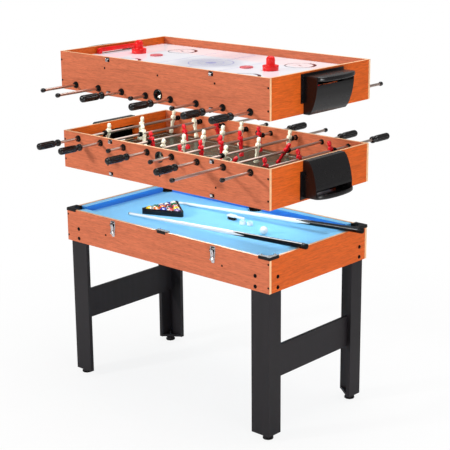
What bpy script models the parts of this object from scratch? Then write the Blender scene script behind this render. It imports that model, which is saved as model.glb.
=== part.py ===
"""Multi game table: a billiard base, with a foosball box and a hockey box lifted off it.

Both boxes are the same double-sided box: foosball field on one side, hockey surface on the
other. The upper one is turned over about its long axis. X runs along the table, Y across it
towards the back, Z up, and the origin lies on the floor under the middle of the table.
"""

import math

import bmesh
import bpy
from mathutils import Matrix, Vector

# Overall sizes
TABLE_LENGTH = 1.21
TABLE_WIDTH = 0.65
BOARD = 0.012
RIM_HEIGHT = 0.80
APRON_HEIGHT = 0.149
BOX_HEIGHT = 0.167
FOOSBALL_GAP = 0.195
HOCKEY_GAP = 0.189

# Clearances
SEAT_GAP = 0.0003
OVERRUN = 0.01
OVERLAP = 0.001
MERGE = 0.00001

# Roundness
TURN_SIDES = 8
FINE_SIDES = 12
SMOOTH_ANGLE = math.radians(35)

# Billiard bed, cushions and pockets
CUSHION_DEPTH = 0.029
CUSHION_DROP = 0.001
CUSHION_WIDTH = 0.037
CUSHION_TOP_WIDTH = 0.034
CUSHION_FOOT_WIDTH = 0.029
CUSHION_NOSE_SHARE = 0.68
CUSHION_END_CUT = 0.016
BED_THICKNESS = 0.012
POCKET_RADIUS = 0.030
POCKET_WALL = 0.003
POCKET_DEPTH = 0.040
POCKET_MARGIN = 0.0015
POCKET_FRONT = 0.004
NOTCH_SHARE = 0.7
CAP_THICKNESS = 0.004
CAP_REACH = 0.048
CAP_OVERHANG = 0.001
SIDE_CAP_HALF_WIDTH = 0.034

# Legs, stretchers and feet
LEG_BOARD = 0.018
LEG_FRONT_WIDTH = 0.095
LEG_SIDE_WIDTH = 0.075
LEG_TUCK = 0.078
LEG_PLATE = 0.012
LEG_CLEAR_OF_FLOOR = 0.022
FOOT_RADIUS = 0.022
FOOT_THICKNESS = 0.009
FOOT_NECK_RADIUS = 0.011
STEM_RADIUS = 0.005
STEM_LENGTH = 0.044
FOOT_INSET = 0.032
STRETCHER_HEIGHT = 0.138
STRETCHER_BOTTOM = 0.262
STRETCHER_BOARD = 0.015

# Levers of the draw latches that hold a box down on the base
LATCH_SPREAD = 0.30
LATCH_PIVOT_DROP = 0.024
LATCH_PIVOT_REACH = 0.0065
LATCH_LEVER_WIDTH = 0.017
LATCH_LEVER_LENGTH = 0.041
LATCH_LEVER_REACH = 0.013
LATCH_LEVER_SHARES = (
    (0.28, 0.06), (0.66, 0.06), (0.70, -0.10), (0.60, -0.50), (0.70, -0.80), (1.00, -0.93),
    (0.92, -1.00), (0.52, -0.86), (0.40, -0.50), (0.34, -0.10),
)

# Double-sided games box
HOCKEY_DEPTH = 0.034
DECK_THICKNESS = 0.028
ROD_SPACING = 0.145
ROD_DROP = 0.026
ENTRY_DROP = 0.037
ENTRY_RADIUS = 0.0187
MOUTH_HALF_WIDTH = 0.100
MOUTH_HEIGHT = 0.068
SLOT_HEIGHT = 0.0125

# Goal boxes on the ends
GOAL_REACH = 0.102
GOAL_HALF_WIDTH = 0.119
GOAL_WALL = 0.003
GOAL_TOP_DROP = 0.003
GOAL_TRAY_HEIGHT = 0.016
GOAL_TRAY_LIP = 0.017
GOAL_HAND_GAP = 0.016
GOAL_FLANGE_HALF_WIDTH = 0.137
GOAL_FLANGE_TOP = 0.124
GOAL_TRAY_CORNER = 0.50
GOAL_PROFILE_SHARES = (
    (0.28, 1.00), (0.41, 0.89), (0.52, 0.72), (0.595, 0.56), (0.645, 0.39), (0.672, 0.25), (0.676, 0.00),
)
TRAY_BOW_SHARES = ((0.69, 0.985), (0.75, 0.80), (0.86, 0.56), (0.95, 0.34), (1.00, 0.14))

# Rods, players, grips and bumpers; the rods stand out further behind than in front
ROD_OVERREACH = 0.0262
ROD_RADIUS = 0.006
BUSH_RADIUS = 0.0115
BUSH_OUTSIDE = 0.011
BUSH_INSIDE = 0.004
BUMPER_RADIUS = 0.0115
BUMPER_WIDTH = 0.014
CAP_CLEARANCE = 0.055
CAP_RADIUS = 0.0095
CAP_LENGTH = 0.020
GRIP_CLEARANCE = 0.094
GRIP_LENGTH = 0.122
GRIP_RADIUS = 0.0155
GRIP_PROFILE_SHARES = (
    (0.70, 0.00), (0.95, 0.06), (0.90, 0.15), (0.58, 0.20),
    (0.90, 0.27), (1.00, 0.36), (1.00, 0.90), (0.62, 1.00),
)
MAN_CLEARANCE = 0.009
MAN_HEAD = 0.0440
MAN_HALF_WIDTH = 0.0135
MAN_HALF_DEPTH = 0.0095
MAN_SHARES = (
    (-1.00, 0.82, 0.85), (-0.76, 0.78, 0.80), (-0.60, 0.58, 0.48), (-0.20, 0.80, 0.92),
    (0.34, 1.00, 1.00), (0.44, 0.42, 0.50), (0.56, 0.60, 0.84), (1.00, 0.46, 0.60),
)
MEN_SPACING_SHARES = {2: 0.515, 3: 0.323, 5: 0.194}
ROD_MEN = (3, 2, 3, 5, 5, 3, 2, 3)
ROD_GRIP_SIDE = (-1, -1, 1, -1, 1, -1, 1, 1)
FOOSBALL_SLIDE_SHARES = (0.92, 0.92, 0.82, 0.75, -0.70, 0.78, -0.92, -0.28)
HOCKEY_SLIDE_SHARES = (0.60, 0.37, -0.95, -0.60, -0.90, -0.10, -0.95, -0.95)
FOOSBALL_TILT_DEGREES = (12, -10, -14, 8, -6, 10, 35, -16)

# Billiard accessories
BALL_RADIUS = 0.0175
BALL_RINGS = 6
BALL_BITE = 0.0006
RACK_ROWS = 5
RACK_WALL = 0.004
RACK_HEIGHT = 0.030
RACK_CORNER_CUT = 0.012
RACK_CORNER = (-0.355, -0.105)
RACK_TURN_DEGREES = 22
CUE_LENGTH = 1.03
CUE_TIP_RADIUS = 0.0055
CUE_BUTT_RADIUS = 0.0125
CUE_SHAFT_SHARE = 0.62
CUE_SHAFT_RADIUS_SHARE = 0.80
CUE_FERRULE_LENGTH = 0.016
CUE_LIFT = 0.0006
CUE_FRONT_TIP = (-0.384, -0.149)
CUE_FRONT_TURN_DEGREES = 0.6
CUE_BACK_TIP = (-0.345, 0.136)
CUE_BACK_TURN_DEGREES = 3.1
CUE_BALL_PLACE = (0.293, 0.006)
CHALK_SIDE = 0.020
CHALK_PLACE = (0.122, 0.062)
CHALK_TURN_DEGREES = 8
CHALK_CUP = 0.0025
CHALK_CUP_RADIUS = 0.007
BRUSH_PLACE = (0.010, 0.094)
BRUSH_TURN_DEGREES = -4
BRUSH_LENGTH = 0.098
BRUSH_WIDTH = 0.024
BRUSH_BACK = 0.009
BRUSH_BRISTLE_LENGTH = 0.042
BRUSH_BRISTLE_HEIGHT = 0.014
BRUSH_HANDLE_SHARES = (
    (0.00, 0.42), (0.04, 0.50), (0.40, 0.50), (0.50, 0.30), (0.75, 0.24), (0.94, 0.34), (1.00, 0.20),
)

# Hockey pieces
PUSHER_RADIUS = 0.034
PUSHER_HEIGHT = 0.060
PUSHER_SHARES = (
    (0.00, 0.00), (1.00, 0.00), (1.00, 0.20), (0.84, 0.26), (0.52, 0.28), (0.34, 0.45),
    (0.44, 0.68), (0.44, 0.86), (0.28, 1.00), (0.00, 1.00),
)
PUSHER_PLACES = ((-0.455, 0.012), (0.335, 0.000))
PUCK_RADIUS = 0.029
PUCK_HEIGHT = 0.005
PUCK_PLACES = ((-0.336, 0.005), (0.211, -0.010))

# Places worked out from the sizes
END = TABLE_LENGTH / 2
SIDE = TABLE_WIDTH / 2
INNER_END = END - BOARD
INNER_SIDE = SIDE - BOARD
APRON_BOTTOM = RIM_HEIGHT - APRON_HEIGHT
BED_TOP = RIM_HEIGHT - CUSHION_DEPTH
FOOSBALL_BOTTOM = RIM_HEIGHT + FOOSBALL_GAP
HOCKEY_BOTTOM = FOOSBALL_BOTTOM + BOX_HEIGHT + HOCKEY_GAP
DECK_TOP = HOCKEY_DEPTH + DECK_THICKNESS
ROD_LEVEL = BOX_HEIGHT - ROD_DROP
MAN_FOOT = ROD_LEVEL - DECK_TOP - MAN_CLEARANCE
LEG_END = INNER_END - SEAT_GAP
LEG_SIDE = INNER_SIDE - SEAT_GAP
ROD_PLACES = [(index - (len(ROD_MEN) - 1) / 2) * ROD_SPACING for index in range(len(ROD_MEN))]
ENDS = (-1, 1)


def clear_scene():
    for item in list(bpy.data.objects):
        bpy.data.objects.remove(item, do_unlink=True)


def new_collection(name):
    collection = bpy.data.collections.new(name)
    bpy.context.scene.collection.children.link(collection)
    return collection


def finish(name, colour, roughness, metallic=0.0):
    material = bpy.data.materials.new(name)
    material.use_nodes = True
    shader = material.node_tree.nodes["Principled BSDF"]
    shader.inputs["Base Color"].default_value = (*colour, 1)
    shader.inputs["Roughness"].default_value = roughness
    shader.inputs["Metallic"].default_value = metallic
    material.diffuse_color = (*colour, 1)
    return material


def clear_radius(radius, sides):
    """Corner radius of a many-sided bore that a round piece of this radius turns in."""
    return (radius + SEAT_GAP) / math.cos(math.pi / sides)


# Shapes, each a mesh

def mesh_from(shape):
    bmesh.ops.remove_doubles(shape, verts=shape.verts, dist=MERGE)
    bmesh.ops.recalc_face_normals(shape, faces=shape.faces)
    mesh = bpy.data.meshes.new("shape")
    shape.to_mesh(mesh)
    shape.free()
    return mesh


def evaluated(item):
    """The mesh an object shows with its modifiers, welded; the object is removed."""
    bpy.context.view_layer.update()
    graph = bpy.context.evaluated_depsgraph_get()
    mesh = bpy.data.meshes.new_from_object(item.evaluated_get(graph))
    bpy.data.objects.remove(item, do_unlink=True)
    shape = bmesh.new()
    shape.from_mesh(mesh)
    return mesh_from(shape)


def temporary(data):
    item = bpy.data.objects.new("shape", data)
    bpy.context.scene.collection.objects.link(item)
    return item


def block(low, high):
    low, high = Vector(low), Vector(high)
    shape = bmesh.new()
    stretch = Matrix.Diagonal((*(high - low), 1))
    bmesh.ops.create_cube(shape, size=1, matrix=Matrix.Translation((low + high) / 2) @ stretch)
    return mesh_from(shape)


def bar(radius, start, end, sides):
    start, end = Vector(start), Vector(end)
    run = end - start
    turn = run.to_track_quat("Z", "Y").to_matrix().to_4x4()
    shape = bmesh.new()
    bmesh.ops.create_cone(
        shape, cap_ends=True, segments=sides, radius1=radius, radius2=radius,
        depth=run.length, matrix=Matrix.Translation((start + end) / 2) @ turn,
    )
    return mesh_from(shape)


def ball(radius, centre):
    shape = bmesh.new()
    bmesh.ops.create_uvsphere(
        shape, u_segments=FINE_SIDES, v_segments=BALL_RINGS, radius=radius,
        matrix=Matrix.Translation(centre),
    )
    return mesh_from(shape)


def turned(profile, sides, ring=False):
    """A profile of radius and height turned about Z; a ring's profile closes on itself."""
    outline = bmesh.new()
    points = [outline.verts.new((radius, 0, height)) for radius, height in profile]
    for first, second in zip(points, points[1:]):
        outline.edges.new((first, second))
    if ring:
        outline.edges.new((points[-1], points[0]))
    mesh = bpy.data.meshes.new("profile")
    outline.to_mesh(mesh)
    outline.free()
    item = temporary(mesh)
    screw = item.modifiers.new("Turn", "SCREW")
    screw.steps = sides
    screw.render_steps = sides
    screw.use_merge_vertices = True
    screw.merge_threshold = MERGE
    return evaluated(item)


def plate(outline, low, high):
    """A flat outline in X and Y that stands from low to high."""
    curve = bpy.data.curves.new("outline", "CURVE")
    curve.dimensions = "2D"
    curve.fill_mode = "BOTH"
    curve.extrude = (high - low) / 2
    spline = curve.splines.new("POLY")
    spline.points.add(len(outline) - 1)
    for point, (across, along) in zip(spline.points, outline):
        point.co = (across, along, 0, 1)
    spline.use_cyclic_u = True
    mesh = evaluated(temporary(curve))
    mesh.transform(Matrix.Translation((0, 0, (high + low) / 2)))
    return mesh


def loft(sections):
    """A closed skin over like-numbered rings of points, with flat ends."""
    shape = bmesh.new()
    rings = [[shape.verts.new(point) for point in section] for section in sections]
    for lower, upper in zip(rings, rings[1:]):
        for index in range(len(lower)):
            after = (index + 1) % len(lower)
            shape.faces.new((lower[index], lower[after], upper[after], upper[index]))
    shape.faces.new(rings[0][::-1])
    shape.faces.new(rings[-1])
    return mesh_from(shape)


def placed(mesh, matrix):
    copy = mesh.copy()
    copy.transform(matrix)
    if matrix.determinant() < 0:
        copy.flip_normals()
    return copy


def moved(mesh, offset):
    return placed(mesh, Matrix.Translation(offset))


def turned_over(mesh, degrees, axis):
    return placed(mesh, Matrix.Rotation(math.radians(degrees), 4, axis))


def merged(meshes):
    """Several solids in one mesh, each still its own body."""
    shape = bmesh.new()
    for mesh in meshes:
        shape.from_mesh(mesh)
    mesh = bpy.data.meshes.new("shape")
    shape.to_mesh(mesh)
    shape.free()
    return mesh


def combined(mesh, other, operation):
    body = temporary(mesh.copy())
    tool = temporary(other.copy())
    boolean = body.modifiers.new("Combine", "BOOLEAN")
    boolean.operation = operation
    boolean.solver = "EXACT"
    boolean.object = tool
    result = evaluated(body)
    bpy.data.objects.remove(tool, do_unlink=True)
    return result


def joined(meshes):
    result = meshes[0]
    for mesh in meshes[1:]:
        result = combined(result, mesh, "UNION")
    return result


def cut(mesh, cutters):
    """A solid less its cutters, which lie clear of each other."""
    return combined(mesh, merged(cutters), "DIFFERENCE")


class Assembly:
    """Collects the finished pieces of the table, each under its own name."""

    def __init__(self):
        self.parts = new_collection("multi_game_table")
        self.base = self.carrier("base_frame")

    def carrier(self, name, height=0, rotation=(0, 0, 0)):
        empty = bpy.data.objects.new(name, None)
        empty.location = (0, -ROD_OVERREACH, height)
        empty.rotation_euler = rotation
        self.parts.objects.link(empty)
        return empty

    def add(self, name, solid, material, origin=(0, 0, 0), carrier=None, smooth=False):
        mesh = solid.copy()
        mesh.transform(Matrix.Translation(-Vector(origin)))
        mesh.name = name
        mesh.materials.append(material)
        if smooth:
            mesh.shade_smooth()
            mesh.set_sharp_from_angle(angle=SMOOTH_ANGLE)
        item = bpy.data.objects.new(name, mesh)
        item.location = origin
        item.parent = carrier or self.base
        self.parts.objects.link(item)
        return item


# Billiard base

def make_rails(table, wood):
    for name, side in (("front", -1), ("back", 1)):
        low = (-END, min(side * SIDE, side * INNER_SIDE), APRON_BOTTOM)
        high = (END, max(side * SIDE, side * INNER_SIDE), RIM_HEIGHT)
        table.add(f"base_{name}_rail", block(low, high), wood)
    reach = INNER_SIDE - SEAT_GAP
    for name, end in (("left", -1), ("right", 1)):
        low = (min(end * END, end * INNER_END), -reach, APRON_BOTTOM)
        high = (max(end * END, end * INNER_END), reach, RIM_HEIGHT)
        table.add(f"base_{name}_rail", block(low, high), wood)


def pocket_inset():
    return BOARD + POCKET_MARGIN + POCKET_RADIUS


def pocket_centres():
    """Centre of each pocket and the direction from it to the table's edge."""
    inset = pocket_inset()
    centres = []
    for side in ENDS:
        for end in (-1, 0, 1):
            place = Vector((end * (END - inset), side * (SIDE - inset), 0))
            centres.append((place, Vector((end, side, 0)).normalized()))
    return centres


def cushion(start, end, matrix):
    """One cushion along X from start to end, its back at Y 0 and its nose towards +Y."""
    height = CUSHION_DEPTH - CUSHION_DROP
    sections = []
    levels = (
        (-OVERLAP, CUSHION_FOOT_WIDTH),
        (height * CUSHION_NOSE_SHARE, CUSHION_WIDTH),
        (height, CUSHION_TOP_WIDTH),
    )
    for level, width in levels:
        cutback = CUSHION_END_CUT * width / CUSHION_WIDTH
        sections.append([
            (start, SEAT_GAP, level), (end, SEAT_GAP, level),
            (end - cutback, width, level), (start + cutback, width, level),
        ])
    return placed(loft(sections), matrix)


def pocket_hole(place):
    """Cutter for a pocket in the bed, open towards the table's edge."""
    start, end = BED_TOP - BED_THICKNESS - OVERRUN, BED_TOP + OVERRUN
    radius = clear_radius(POCKET_RADIUS, FINE_SIDES)
    hole = bar(radius, (*place.xy, start), (*place.xy, end), FINE_SIDES)
    half = POCKET_RADIUS * NOTCH_SHARE
    left, right = sorted((place.x, math.copysign(END, place.x))) if place.x else (-half, half)
    front, back = sorted((place.y, math.copysign(SIDE, place.y)))
    return combined(hole, block((left, front, start), (right, back, end)), "UNION")


def make_bed(table, cloth):
    """Playing bed with its six glued cushions."""
    reach_end = INNER_END - SEAT_GAP
    reach_side = INNER_SIDE - SEAT_GAP
    bed = block((-reach_end, -reach_side, BED_TOP - BED_THICKNESS), (reach_end, reach_side, BED_TOP))
    holes = [pocket_hole(place) for place, way in pocket_centres()]
    table.add("billiard_bed", joined([cut(bed, holes), merged(cushions())]), cloth)


def cushions():
    clear = POCKET_RADIUS / math.cos(math.pi / FINE_SIDES) + POCKET_MARGIN
    corner = pocket_inset() - BOARD + clear
    solids = []
    for side in ENDS:
        frame = Matrix.Translation((0, side * INNER_SIDE, BED_TOP))
        if side > 0:
            frame = frame @ Matrix.Rotation(math.pi, 4, "Z")
        solids.append(cushion(-INNER_END + corner, -clear, frame))
        solids.append(cushion(clear, INNER_END - corner, frame))
    for end in ENDS:
        frame = Matrix.Translation((end * INNER_END, 0, BED_TOP))
        frame = frame @ Matrix.Rotation(end * math.pi / 2, 4, "Z")
        solids.append(cushion(-INNER_SIDE + corner, INNER_SIDE - corner, frame))
    return solids


def arc(centre, radius, first, last, steps):
    """Points on an arc, by angle in degrees."""
    points = []
    for step in range(steps + 1):
        angle = math.radians(first + (last - first) * step / steps)
        points.append((centre[0] + radius * math.cos(angle), centre[1] + radius * math.sin(angle)))
    return points


def corner_cap():
    """Cap of a corner pocket, its outer corner at the origin and the table towards +X and +Y."""
    centre = pocket_inset()
    edge = centre - POCKET_RADIUS + POCKET_WALL
    lip = arc((centre, centre), POCKET_RADIUS - POCKET_WALL, 270, 180, 4)
    outline = [(-CAP_OVERHANG, -CAP_OVERHANG), (CAP_REACH, -CAP_OVERHANG), (CAP_REACH, edge)]
    outline += lip
    outline += [(edge, CAP_REACH), (-CAP_OVERHANG, CAP_REACH)]
    return plate(outline, SEAT_GAP, CAP_THICKNESS)


def side_cap():
    """Cap of a side pocket, the rail's outer edge along X and the table towards +Y."""
    centre = pocket_inset()
    edge = centre - POCKET_RADIUS + POCKET_WALL - OVERLAP
    lip = arc((0, centre), POCKET_RADIUS - POCKET_WALL, 310, 230, 4)
    outline = [(-SIDE_CAP_HALF_WIDTH, -CAP_OVERHANG), (SIDE_CAP_HALF_WIDTH, -CAP_OVERHANG)]
    outline += [(SIDE_CAP_HALF_WIDTH, edge)]
    outline += lip
    outline += [(-SIDE_CAP_HALF_WIDTH, edge)]
    return plate(outline, SEAT_GAP, CAP_THICKNESS)


def pocket_cup(way):
    """Cup of a pocket about Z, with its wall cut away above the bed on the playing side."""
    top = SEAT_GAP + CAP_THICKNESS / 2
    bottom = -CUSHION_DEPTH - POCKET_DEPTH
    inner = POCKET_RADIUS - POCKET_WALL
    profile = [
        (0, bottom), (POCKET_RADIUS, bottom), (POCKET_RADIUS, top),
        (inner, top), (inner, bottom + POCKET_WALL), (0, bottom + POCKET_WALL),
    ]
    cup = turned(profile, FINE_SIDES)
    reach = POCKET_RADIUS + OVERRUN
    window = block((POCKET_FRONT, -reach, -CUSHION_DEPTH - OVERLAP), (reach, reach, top + OVERRUN))
    angle = math.atan2(-way.y, -way.x)
    return cut(cup, [placed(window, Matrix.Rotation(angle, 4, "Z"))])


def make_pockets(table, plastic):
    names = [f"pocket_{row}_{column}" for row in ("front", "back") for column in ("left", "middle", "right")]
    for name, (place, way) in zip(names, pocket_centres()):
        cup = moved(pocket_cup(way), (*place.xy, RIM_HEIGHT))
        if place.x:
            mirror = Matrix.Diagonal((-way.x / abs(way.x), -way.y / abs(way.y), 1, 1))
            corner = Vector((math.copysign(END, place.x), math.copysign(SIDE, place.y), RIM_HEIGHT))
            cap = placed(corner_cap(), Matrix.Translation(corner) @ mirror)
        else:
            mirror = Matrix.Diagonal((1, -way.y, 1, 1))
            edge = Vector((0, math.copysign(SIDE, place.y), RIM_HEIGHT))
            cap = placed(side_cap(), Matrix.Translation(edge) @ mirror)
        table.add(name, joined([cap, cup]), plastic, smooth=True)


def foot_centre(end, side):
    return Vector((end * (LEG_END - FOOT_INSET), side * (LEG_SIDE - FOOT_INSET), 0))


def leg(end, side):
    """Two boards that meet in an L, with a corner plate at the bottom for the foot's stem."""
    top = APRON_BOTTOM + LEG_TUCK
    low = LEG_CLEAR_OF_FLOOR
    outline = [
        (0, 0), (LEG_FRONT_WIDTH, 0), (LEG_FRONT_WIDTH, LEG_BOARD),
        (LEG_BOARD, LEG_BOARD), (LEG_BOARD, LEG_SIDE_WIDTH), (0, LEG_SIDE_WIDTH),
    ]
    boards = plate(outline, low, top)
    inset = LEG_BOARD - OVERLAP
    corner = plate(
        [(inset, inset), (LEG_FRONT_WIDTH - OVERLAP, inset), (inset, LEG_SIDE_WIDTH - OVERLAP)],
        low + OVERLAP, low + LEG_PLATE,
    )
    mirror = Matrix.Diagonal((-end, -side, 1, 1))
    frame = Matrix.Translation((end * LEG_END, side * LEG_SIDE, 0)) @ mirror
    return placed(joined([boards, corner]), frame)


def foot():
    """Levelling foot about Z, on the floor at Z 0."""
    profile = [
        (0, 0), (FOOT_RADIUS, 0), (FOOT_RADIUS, FOOT_THICKNESS),
        (FOOT_NECK_RADIUS, LEG_CLEAR_OF_FLOOR - OVERLAP), (STEM_RADIUS, LEG_CLEAR_OF_FLOOR + OVERLAP * 2),
        (STEM_RADIUS, STEM_LENGTH), (0, STEM_LENGTH),
    ]
    return turned(profile, TURN_SIDES)


def make_legs(table, laminate):
    for side, side_name in ((-1, "front"), (1, "back")):
        for end, end_name in ((-1, "left"), (1, "right")):
            solid = joined([leg(end, side), moved(foot(), foot_centre(end, side))])
            table.add(f"leg_{side_name}_{end_name}", solid, laminate)


def make_stretchers(table, laminate):
    reach = LEG_SIDE - LEG_BOARD - SEAT_GAP
    outer = LEG_END - LEG_BOARD - SEAT_GAP
    inner = outer - STRETCHER_BOARD
    top = STRETCHER_BOTTOM + STRETCHER_HEIGHT
    for name, end in (("left", -1), ("right", 1)):
        low = (min(end * outer, end * inner), -reach, STRETCHER_BOTTOM)
        high = (max(end * outer, end * inner), reach, top)
        table.add(f"stretcher_{name}", block(low, high), laminate)


def latch_lever():
    """Curved lever and its knuckle; X outward, Z 0 at the pin."""
    outline = [
        (reach * LATCH_LEVER_REACH, height * LATCH_LEVER_LENGTH) for reach, height in LATCH_LEVER_SHARES
    ]
    half = LATCH_LEVER_WIDTH / 2
    lever = placed(plate(outline, -half, half), Matrix.Rotation(math.pi / 2, 4, "X"))
    wide = half + OVERLAP
    pin = LATCH_PIVOT_REACH
    knuckle = bar(pin - SEAT_GAP, (pin, -wide, 0), (pin, wide, 0), TURN_SIDES)
    return joined([lever, knuckle])


def make_latches(table, chrome):
    turn = Matrix.Rotation(-math.pi / 2, 4, "Z")
    lever = latch_lever()
    for name, end in (("left", -1), ("right", 1)):
        place = Vector((end * LATCH_SPREAD, -SIDE, RIM_HEIGHT - LATCH_PIVOT_DROP))
        solid = placed(lever, Matrix.Translation(place) @ turn)
        table.add(f"latch_lever_{name}", solid, chrome, origin=place - Vector((0, LATCH_PIVOT_REACH, 0)))


# Billiard accessories

def rack_outline(side):
    """Triangle with cut corners, its lower left corner at the origin."""
    corners = [Vector((0, 0)), Vector((side, 0)), Vector((side / 2, side * math.sqrt(3) / 2))]
    outline = []
    for index, corner in enumerate(corners):
        before = (corners[index - 1] - corner).normalized()
        after = (corners[(index + 1) % 3] - corner).normalized()
        outline += [tuple(corner + before * RACK_CORNER_CUT), tuple(corner + after * RACK_CORNER_CUT)]
    return outline


def rack_sides():
    """Inner and outer side of the rack, for five rows of balls."""
    inner = (2 * BALL_RADIUS) * (RACK_ROWS - 1 + math.sqrt(3)) + 2 * SEAT_GAP
    return inner, inner + 2 * math.sqrt(3) * RACK_WALL


def rack_frame():
    place = Matrix.Translation((*RACK_CORNER, BED_TOP + SEAT_GAP))
    return place @ Matrix.Rotation(math.radians(RACK_TURN_DEGREES), 4, "Z")


def make_rack(table, plastic, resin):
    inner, outer = rack_sides()
    ring = plate(rack_outline(outer), 0, RACK_HEIGHT)
    shift = Vector((math.sqrt(3) * RACK_WALL, RACK_WALL, 0))
    hollow = moved(plate(rack_outline(inner), -OVERRUN, RACK_HEIGHT + OVERRUN), shift)
    frame = rack_frame()
    table.add("ball_rack", placed(cut(ring, [hollow]), frame), plastic)
    spacing = 2 * BALL_RADIUS - BALL_BITE
    first = shift + Vector((BALL_RADIUS * math.sqrt(3) + SEAT_GAP, BALL_RADIUS + SEAT_GAP, BALL_RADIUS))
    balls = []
    for row in range(RACK_ROWS):
        for index in range(RACK_ROWS - row):
            step = Vector((spacing * (index + row / 2), spacing * row * math.sqrt(3) / 2, 0))
            balls.append(ball(BALL_RADIUS, first + step))
    table.add("racked_balls", placed(joined(balls), frame), resin, smooth=True)
    place = Vector((*CUE_BALL_PLACE, BED_TOP + SEAT_GAP + BALL_RADIUS))
    table.add("cue_ball", ball(BALL_RADIUS, place), resin, origin=place, smooth=True)


def cue_radius(distance):
    """Radius of a cue at a distance from its tip."""
    joint = CUE_SHAFT_SHARE * CUE_LENGTH
    middle = CUE_BUTT_RADIUS * CUE_SHAFT_RADIUS_SHARE
    if distance < joint:
        return CUE_TIP_RADIUS + (middle - CUE_TIP_RADIUS) * distance / joint
    return middle + (CUE_BUTT_RADIUS - middle) * (distance - joint) / (CUE_LENGTH - joint)


def cue_frame(tip, turn_degrees):
    """Lays a cue's tip on the cloth and its butt over the right-hand cushion."""
    way = Matrix.Rotation(math.radians(turn_degrees), 4, "Z")
    rest = (INNER_END - CUSHION_TOP_WIDTH - tip[0]) / math.cos(math.radians(turn_degrees))
    low = BED_TOP + SEAT_GAP + CUE_TIP_RADIUS + CUE_LIFT
    high = RIM_HEIGHT + SEAT_GAP + cue_radius(rest) + CUE_LIFT
    rise = math.atan2(high - low, rest)
    return Matrix.Translation((*tip, low)) @ way @ Matrix.Rotation(math.pi / 2 - rise, 4, "Y")


def make_cues(table, maple):
    joint = CUE_SHAFT_SHARE * CUE_LENGTH
    profile = [
        (0, 0), (CUE_TIP_RADIUS, 0), (cue_radius(CUE_FERRULE_LENGTH), CUE_FERRULE_LENGTH),
        (cue_radius(joint), joint), (CUE_BUTT_RADIUS, CUE_LENGTH - CUE_BUTT_RADIUS / 2),
        (CUE_BUTT_RADIUS / 2, CUE_LENGTH), (0, CUE_LENGTH),
    ]
    cue = turned(profile, FINE_SIDES)
    for name, tip, turn in (
        ("cue_front", CUE_FRONT_TIP, CUE_FRONT_TURN_DEGREES),
        ("cue_back", CUE_BACK_TIP, CUE_BACK_TURN_DEGREES),
    ):
        table.add(name, placed(cue, cue_frame(tip, turn)), maple, smooth=True)


def make_chalk(table, chalk):
    half = CHALK_SIDE / 2
    cube = block((-half, -half, SEAT_GAP), (half, half, CHALK_SIDE))
    cup = bar(CHALK_CUP_RADIUS, (0, 0, CHALK_SIDE - CHALK_CUP), (0, 0, CHALK_SIDE + OVERRUN), TURN_SIDES)
    cube = cut(cube, [cup])
    cube = turned_over(cube, CHALK_TURN_DEGREES, "Z")
    table.add("chalk_cube", moved(cube, (*CHALK_PLACE, BED_TOP)), chalk)


def make_brush(table, beech):
    half = [(along * BRUSH_LENGTH, across * BRUSH_WIDTH) for along, across in BRUSH_HANDLE_SHARES]
    outline = half + [(along, -across) for along, across in reversed(half)]
    top = BRUSH_BRISTLE_HEIGHT + BRUSH_BACK
    back = plate(outline, BRUSH_BRISTLE_HEIGHT, top)
    inset = BRUSH_WIDTH * BRUSH_HANDLE_SHARES[0][1] - OVERLAP
    low = (OVERLAP, -inset, SEAT_GAP)
    bristles = block(low, (BRUSH_BRISTLE_LENGTH, inset, BRUSH_BRISTLE_HEIGHT + OVERLAP))
    brush = turned_over(joined([back, bristles]), BRUSH_TURN_DEGREES, "Z")
    table.add("table_brush", moved(brush, (*BRUSH_PLACE, BED_TOP)), beech)


# Double-sided games box, in its own frame: Z 0 at the hockey rim, BOX_HEIGHT at the foosball rim

def rod_travel(index):
    """How far a rod slides each way from its middle before a bumper meets the bushing."""
    outer_man = men_places(index)[-1]
    return INNER_SIDE - BUSH_INSIDE - outer_man - MAN_HALF_WIDTH - BUMPER_WIDTH - 3 * SEAT_GAP


def men_places(index):
    men = ROD_MEN[index]
    return [(step - (men - 1) / 2) * MEN_SPACING_SHARES[men] * TABLE_WIDTH for step in range(men)]


def man(place):
    """One player on its rod, which runs along Y through the chest; head towards +Z."""
    sections = []
    for height, width, depth in MAN_SHARES:
        level = height * (MAN_HEAD if height > 0 else MAN_FOOT)
        half_width, half_depth = width * MAN_HALF_WIDTH, depth * MAN_HALF_DEPTH
        sections.append([
            (-half_depth, place - half_width, level), (half_depth, place - half_width, level),
            (half_depth, place + half_width, level), (-half_depth, place + half_width, level),
        ])
    return loft(sections)


def along_y(mesh, side):
    """Turns a piece made along Z so that it runs along Y, towards the given side."""
    return placed(mesh, Matrix.Rotation(-side * math.pi / 2, 4, "X"))


def grip():
    profile = [(0, 0)]
    profile += [(radius * GRIP_RADIUS, length * GRIP_LENGTH) for radius, length in GRIP_PROFILE_SHARES]
    return turned(profile + [(0, GRIP_LENGTH)], TURN_SIDES)


def end_cap():
    profile = [(0, 0), (CAP_RADIUS, 0), (CAP_RADIUS, CAP_LENGTH / 2)]
    return turned(profile + [(CAP_RADIUS / 2, CAP_LENGTH), (0, CAP_LENGTH)], TURN_SIDES)


def rod_end(index, side, slide=0.0):
    """Where a rod ends on one side, and the grip or end cap that it carries there."""
    reach = SIDE + BUSH_OUTSIDE + rod_travel(index)
    if side == ROD_GRIP_SIDE[index]:
        place, piece = side * (reach + GRIP_CLEARANCE) + slide, grip()
    else:
        place, piece = side * (reach + CAP_CLEARANCE) + slide, end_cap()
    return place, moved(along_y(piece, side), (0, place, 0))


def bumper_start(index):
    return men_places(index)[-1] + MAN_HALF_WIDTH + SEAT_GAP


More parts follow.
